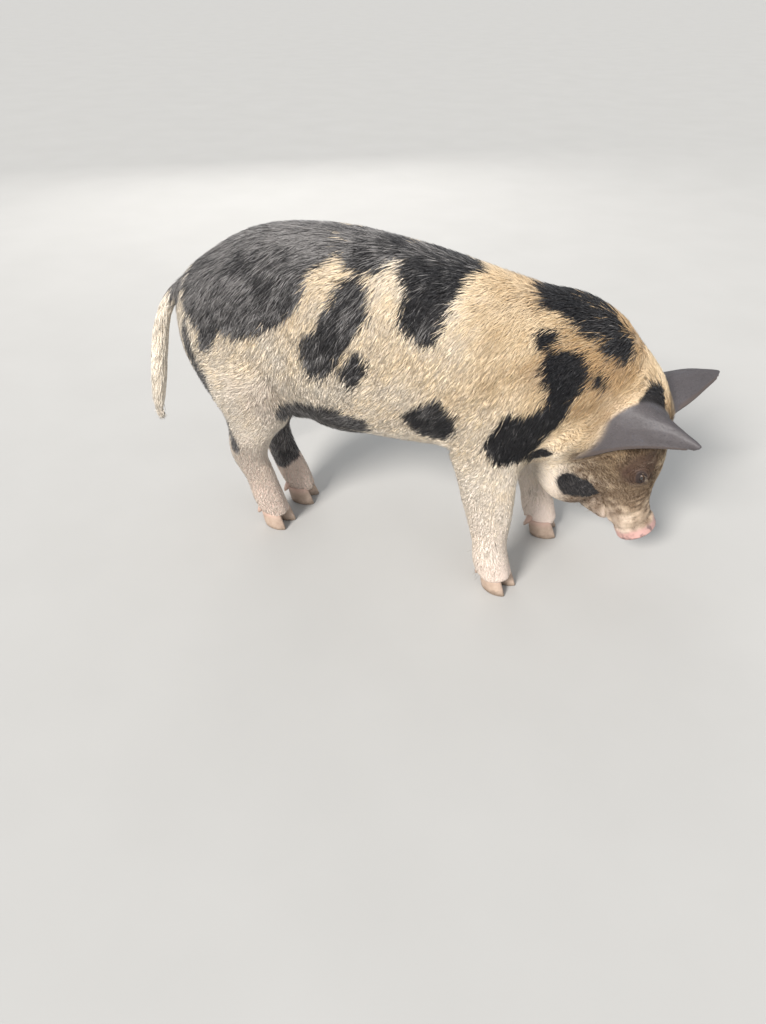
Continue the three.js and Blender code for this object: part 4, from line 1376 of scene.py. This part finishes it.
def hair_look(name, pieces, shine=0.5):
    look = Look(name)
    warm, black, tint, along = look.stored("warm", "black", "tint", "along")
    grey_and_sheen, brown, rosy, ear, socket = look.stored("grey_and_sheen", "brown", "rosy", "ear", "socket")
    light = light_hair(look, (warm + (tint - 0.5) * 0.5).clamped())
    light = look.mixed(1.0, light, look.mixed(tint, (0.78, 0.72, 0.65), (1.07, 1.07, 1.07)), "MULTIPLY")
    root = look.mixed(1.0, light, look.mixed(warm, (0.86, 0.78, 0.70), (0.5, 0.38, 0.28)), "MULTIPLY")
    # darker roots, dust and pink low down with painted shade on the hind legs, dark ends on some golden hairs,
    # and the face's brown with the ears' shade painted into it
    light = look.layered(
        light, ((1 - along) * 0.7, root), (rosy * (1 - along * 0.4) * 0.75, (0.52, 0.44, 0.385)),
        ((warm - 0.5) * ((0.34 - tint) * 8).clamped() * along * 1.5, (0.09, 0.05, 0.03)),
        (brown * (1.35 - tint * 0.9), DARK_BROWN_AND_SHADE),
    )
    # lighter tufts in the black, lightest at their tips: grey hairs, and painted sheen
    grey_and_sheen_share = ((tint - 1 + grey_and_sheen) * 2.5).clamped() * (0.15 + along * 0.6)
    dark = look.mixed(grey_and_sheen_share, look.mixed(grey_and_sheen, JET, SLATE), GREY_HAIR_SHEEN)
    # painted sheen: bluish patches on the ears' hair
    ear_hair_sheen = look.mixed((look.grain(0.03, 3) - 0.38) * 4, EAR_HAIR, EAR_BLUE_SHEEN)
    # black hair, and the shade painted under the belly and between the hind legs
    colour = look.layered(
        # the ears' hair, whose share also darkens the hair at the ears' roots as painted shade
        light, (black, dark), (ear, look.mixed(tint, (0.03, 0.025, 0.027), ear_hair_sheen)),
        # the ears' shade painted dark over the sockets
        (socket * 0.85, look.mixed(tint, (0.022, 0.012, 0.008), (0.10, 0.05, 0.026))),
    )
    look.surface(pieces, base_color=colour, roughness=shine + black * -0.08, specular_ior_level=0.42)
    print(name, "has", len(look.tree.nodes), "nodes")


hair_look("bristly_coat", [c for c in coat if "face" not in c.name and "tail" not in c.name])
hair_look("face_hair", [c for c in coat if "face" in c.name])
hair_look("tassel_hair", [tassel], 0.42)
look = Look("whisker_hair")
bristle = look.mixed(look.stored("tint"), (0.02, 0.015, 0.012), (0.42, 0.33, 0.24))
look.surface([whiskers], base_color=bristle, roughness=0.4)

# %% [markdown]
# ## The skin's look
#
# Under white hair the skin is pink, and under black hair it is slate; the slate also paints the shade under
# the belly and between the hind legs. The ears are dark and leathery, the snout is moist and pebbled, and the
# sockets are wrinkled, with the ears' shade painted dark round them. Fine grain stands for short hair.

# %% Skin
look = Look("hide")
warm, black, rosy, brown, rim = look.stored("warm", "black", "rosy", "brown", "rim")
ear, snout, socket, lids = look.stored("ear", "snout", "socket", "lids")
blotches, pores, fuzz = look.grain(0.03, 4), look.grain(0.0022, 3), look.grain(0.0014, 2, (1, 1, 0.3))
pale = look.layered(
    # pink skin and dust, with painted shade on the lower hind legs
    look.mixed(rosy, light_hair(look, warm), (0.54, 0.36, 0.30)),
    # the face's brown, with the ears' shade painted into it
    ((fuzz - 0.2) * 1.2, look.mixed(warm, (0.70, 0.62, 0.54), (0.36, 0.23, 0.11))), (brown * 0.8, DARK_BROWN_AND_SHADE),
)
leather = look.layered(
    look.mixed(blotches, (0.040, 0.036, 0.038), (0.075, 0.064, 0.064)),
    (pores * 0.4, (0.11, 0.10, 0.105)), (rim, (0.075, 0.058, 0.053)),
)
nose = look.layered(
    look.mixed(blotches, (0.36, 0.20, 0.175), (0.52, 0.32, 0.28)),
    (((look.grain(0.016, 3) - 0.52) * 9).clamped() * 0.8, (0.11, 0.075, 0.072)),
)
hide = look.layered(
    # slate skin under black hair, and under the shade painted below the belly and between the hind legs
    pale, (black, look.mixed(fuzz, (0.02, 0.018, 0.019), (0.05, 0.044, 0.042))),
    # the ears' shade painted dark round the sockets
    (socket * (0.6 + blotches * 0.5), (0.055, 0.028, 0.02)), (ear, leather), (snout, nose),
    (lids, (0.02, 0.011, 0.009)),
)
rough = 0.64 - ear * 0.1 - snout * 0.2 + lids * 0.06 + (pores - 0.5) * 0.12
relief = look.relief(pores * 0.6 + fuzz * 0.6 + look.grain(0.007, 3) * 0.8, 0.0012)
look.surface([skin], base_color=hide, roughness=rough, specular_ior_level=0.4, normal=relief)
print("Nodes of the hide:", len(look.tree.nodes))

# %% [markdown]
# ## The eyes' and claws' look
#
# The iris is dark brown round a black pupil, and a clear wet coat over all of it gives the glint. The claws
# are horn with growth rings and fine streaks up the wall. They are soiled at the sole and pink at the top.

# %% Eyes and claws
look = Look("dark_eye")
far_out = look.stored("from_pupil")
iris = look.mixed(look.grain(0.0012, 3), (0.035, 0.016, 0.008), (0.10, 0.05, 0.022))
white = look.mixed(look.grain(0.004, 3), (0.10, 0.06, 0.045), (0.20, 0.14, 0.115))
beyond_iris, in_pupil = ((far_out - 9.4) * 1.3).clamped(), ((3.6 - far_out) * 2.5).clamped()
eye = look.layered(iris, (beyond_iris, white), (in_pupil, (0.004, 0.003, 0.003)))
look.surface(
    eyes, base_color=eye, roughness=0.06, specular_ior_level=0.6, coat_weight=1.0, coat_roughness=0.03,
)

look = Look("horn_of_claws")
high = look.stored("high")
rings = look.node("ShaderNodeMath", {"operation": "SINE"}, {0: high * 1.9 + look.grain(0.012) * 5})
soiled = (1.1 - high * 0.09 + (look.grain(0.009, 4) - 0.5) * 1.6).clamped() * 0.75
horn = look.layered(
    look.mixed(look.grain(0.01, 4), (0.22, 0.15, 0.11), (0.47, 0.36, 0.28)),
    (soiled, (0.11, 0.08, 0.055)), (((high - 24) * 0.07).clamped() * 0.7, (0.50, 0.33, 0.27)),
)
streaks = look.grain(0.003, 3, (1, 1, 0.15))
relief = look.relief(rings * 0.3 + streaks, 0.0008)
look.surface(claws, base_color=horn, roughness=0.42 + streaks * 0.2, specular_ior_level=0.45, normal=relief)
print("Nodes of the horn:", len(look.tree.nodes))

# %% [markdown]
# ## Camera, light and floor
#
# The camera is a metre up, to the right of the pig, and looks 36 degrees down. A broad soft sun gives the
# coat its shape, and two weak fills and a pale sky keep its shadows open.

# %% Camera
CAMERA_AT = (348, -1250, 1000)
HEADING, DOWN = (-0.2924, 0.9563), 36
FILM, FOCAL, LONG_SIDE = 36, 769, 1024  # the film in millimetres, then the lens and the frame in pixels
camera = placed("camera", bpy.data.cameras.new("camera"))
camera.location = to_frame(CAMERA_AT)
slant = np.radians(DOWN)
aim = Vector((HEADING[0] * np.cos(slant), HEADING[1] * np.cos(slant), -np.sin(slant)))
camera.rotation_euler = aim.to_track_quat("-Z", "Y").to_euler()
camera.data.sensor_width = FILM
camera.data.lens = FILM * FOCAL / LONG_SIDE
camera.data.clip_end = 200
bpy.context.scene.camera = camera
print("Camera's lens, mm:", round(camera.data.lens, 2))


# %% Light and floor
def lamp(kind, name, at, power, colour, **settings):
    """A light that is aimed at the middle of the pig."""
    data = bpy.data.lights.new(name, kind)
    data.energy, data.color = power, colour
    for key, value in settings.items():
        setattr(data, key, value)
    light = placed(name, data)
    light.location = at
    light.rotation_euler = (Vector((0, 0, 0.3)) - Vector(at)).to_track_quat("-Z", "Y").to_euler()


lamp("SUN", "key", (-0.75, -2.3, 1.95), 5.6, (1, 0.975, 0.94), angle=0.3)
lamp("AREA", "fill", (2.2, -2.4, 1.0), 26, (0.97, 0.98, 1), size=2.4)
lamp("AREA", "back_fill", (-1.4, 2.6, 1.7), 34, (1, 0.98, 0.96), size=2.4)
bpy.context.scene.view_settings.view_transform = "Standard"

world = bpy.data.worlds.new("studio")
bpy.context.scene.world = world
world.use_nodes = True
sky = world.node_tree.nodes["Background"]
sky.inputs[0].default_value, sky.inputs[1].default_value = (0.9, 0.95, 1, 1), 0.75

FLOOR = 60
mesh = bpy.data.meshes.new("floor")
around = ((-1, -1), (1, -1), (1, 1), (-1, 1))
mesh.from_pydata([(x * FLOOR, y * FLOOR, 0) for x, y in around], [], [(0, 1, 2, 3)])
floor = placed("floor", mesh)
floor.location.z = -0.0004
look = Look("pale_floor")
speckle = look.mixed(look.grain(0.25, 3), (0.385, 0.375, 0.36), (0.42, 0.41, 0.395))
look.surface([floor], base_color=speckle, roughness=0.9, specular_ior_level=0.2)
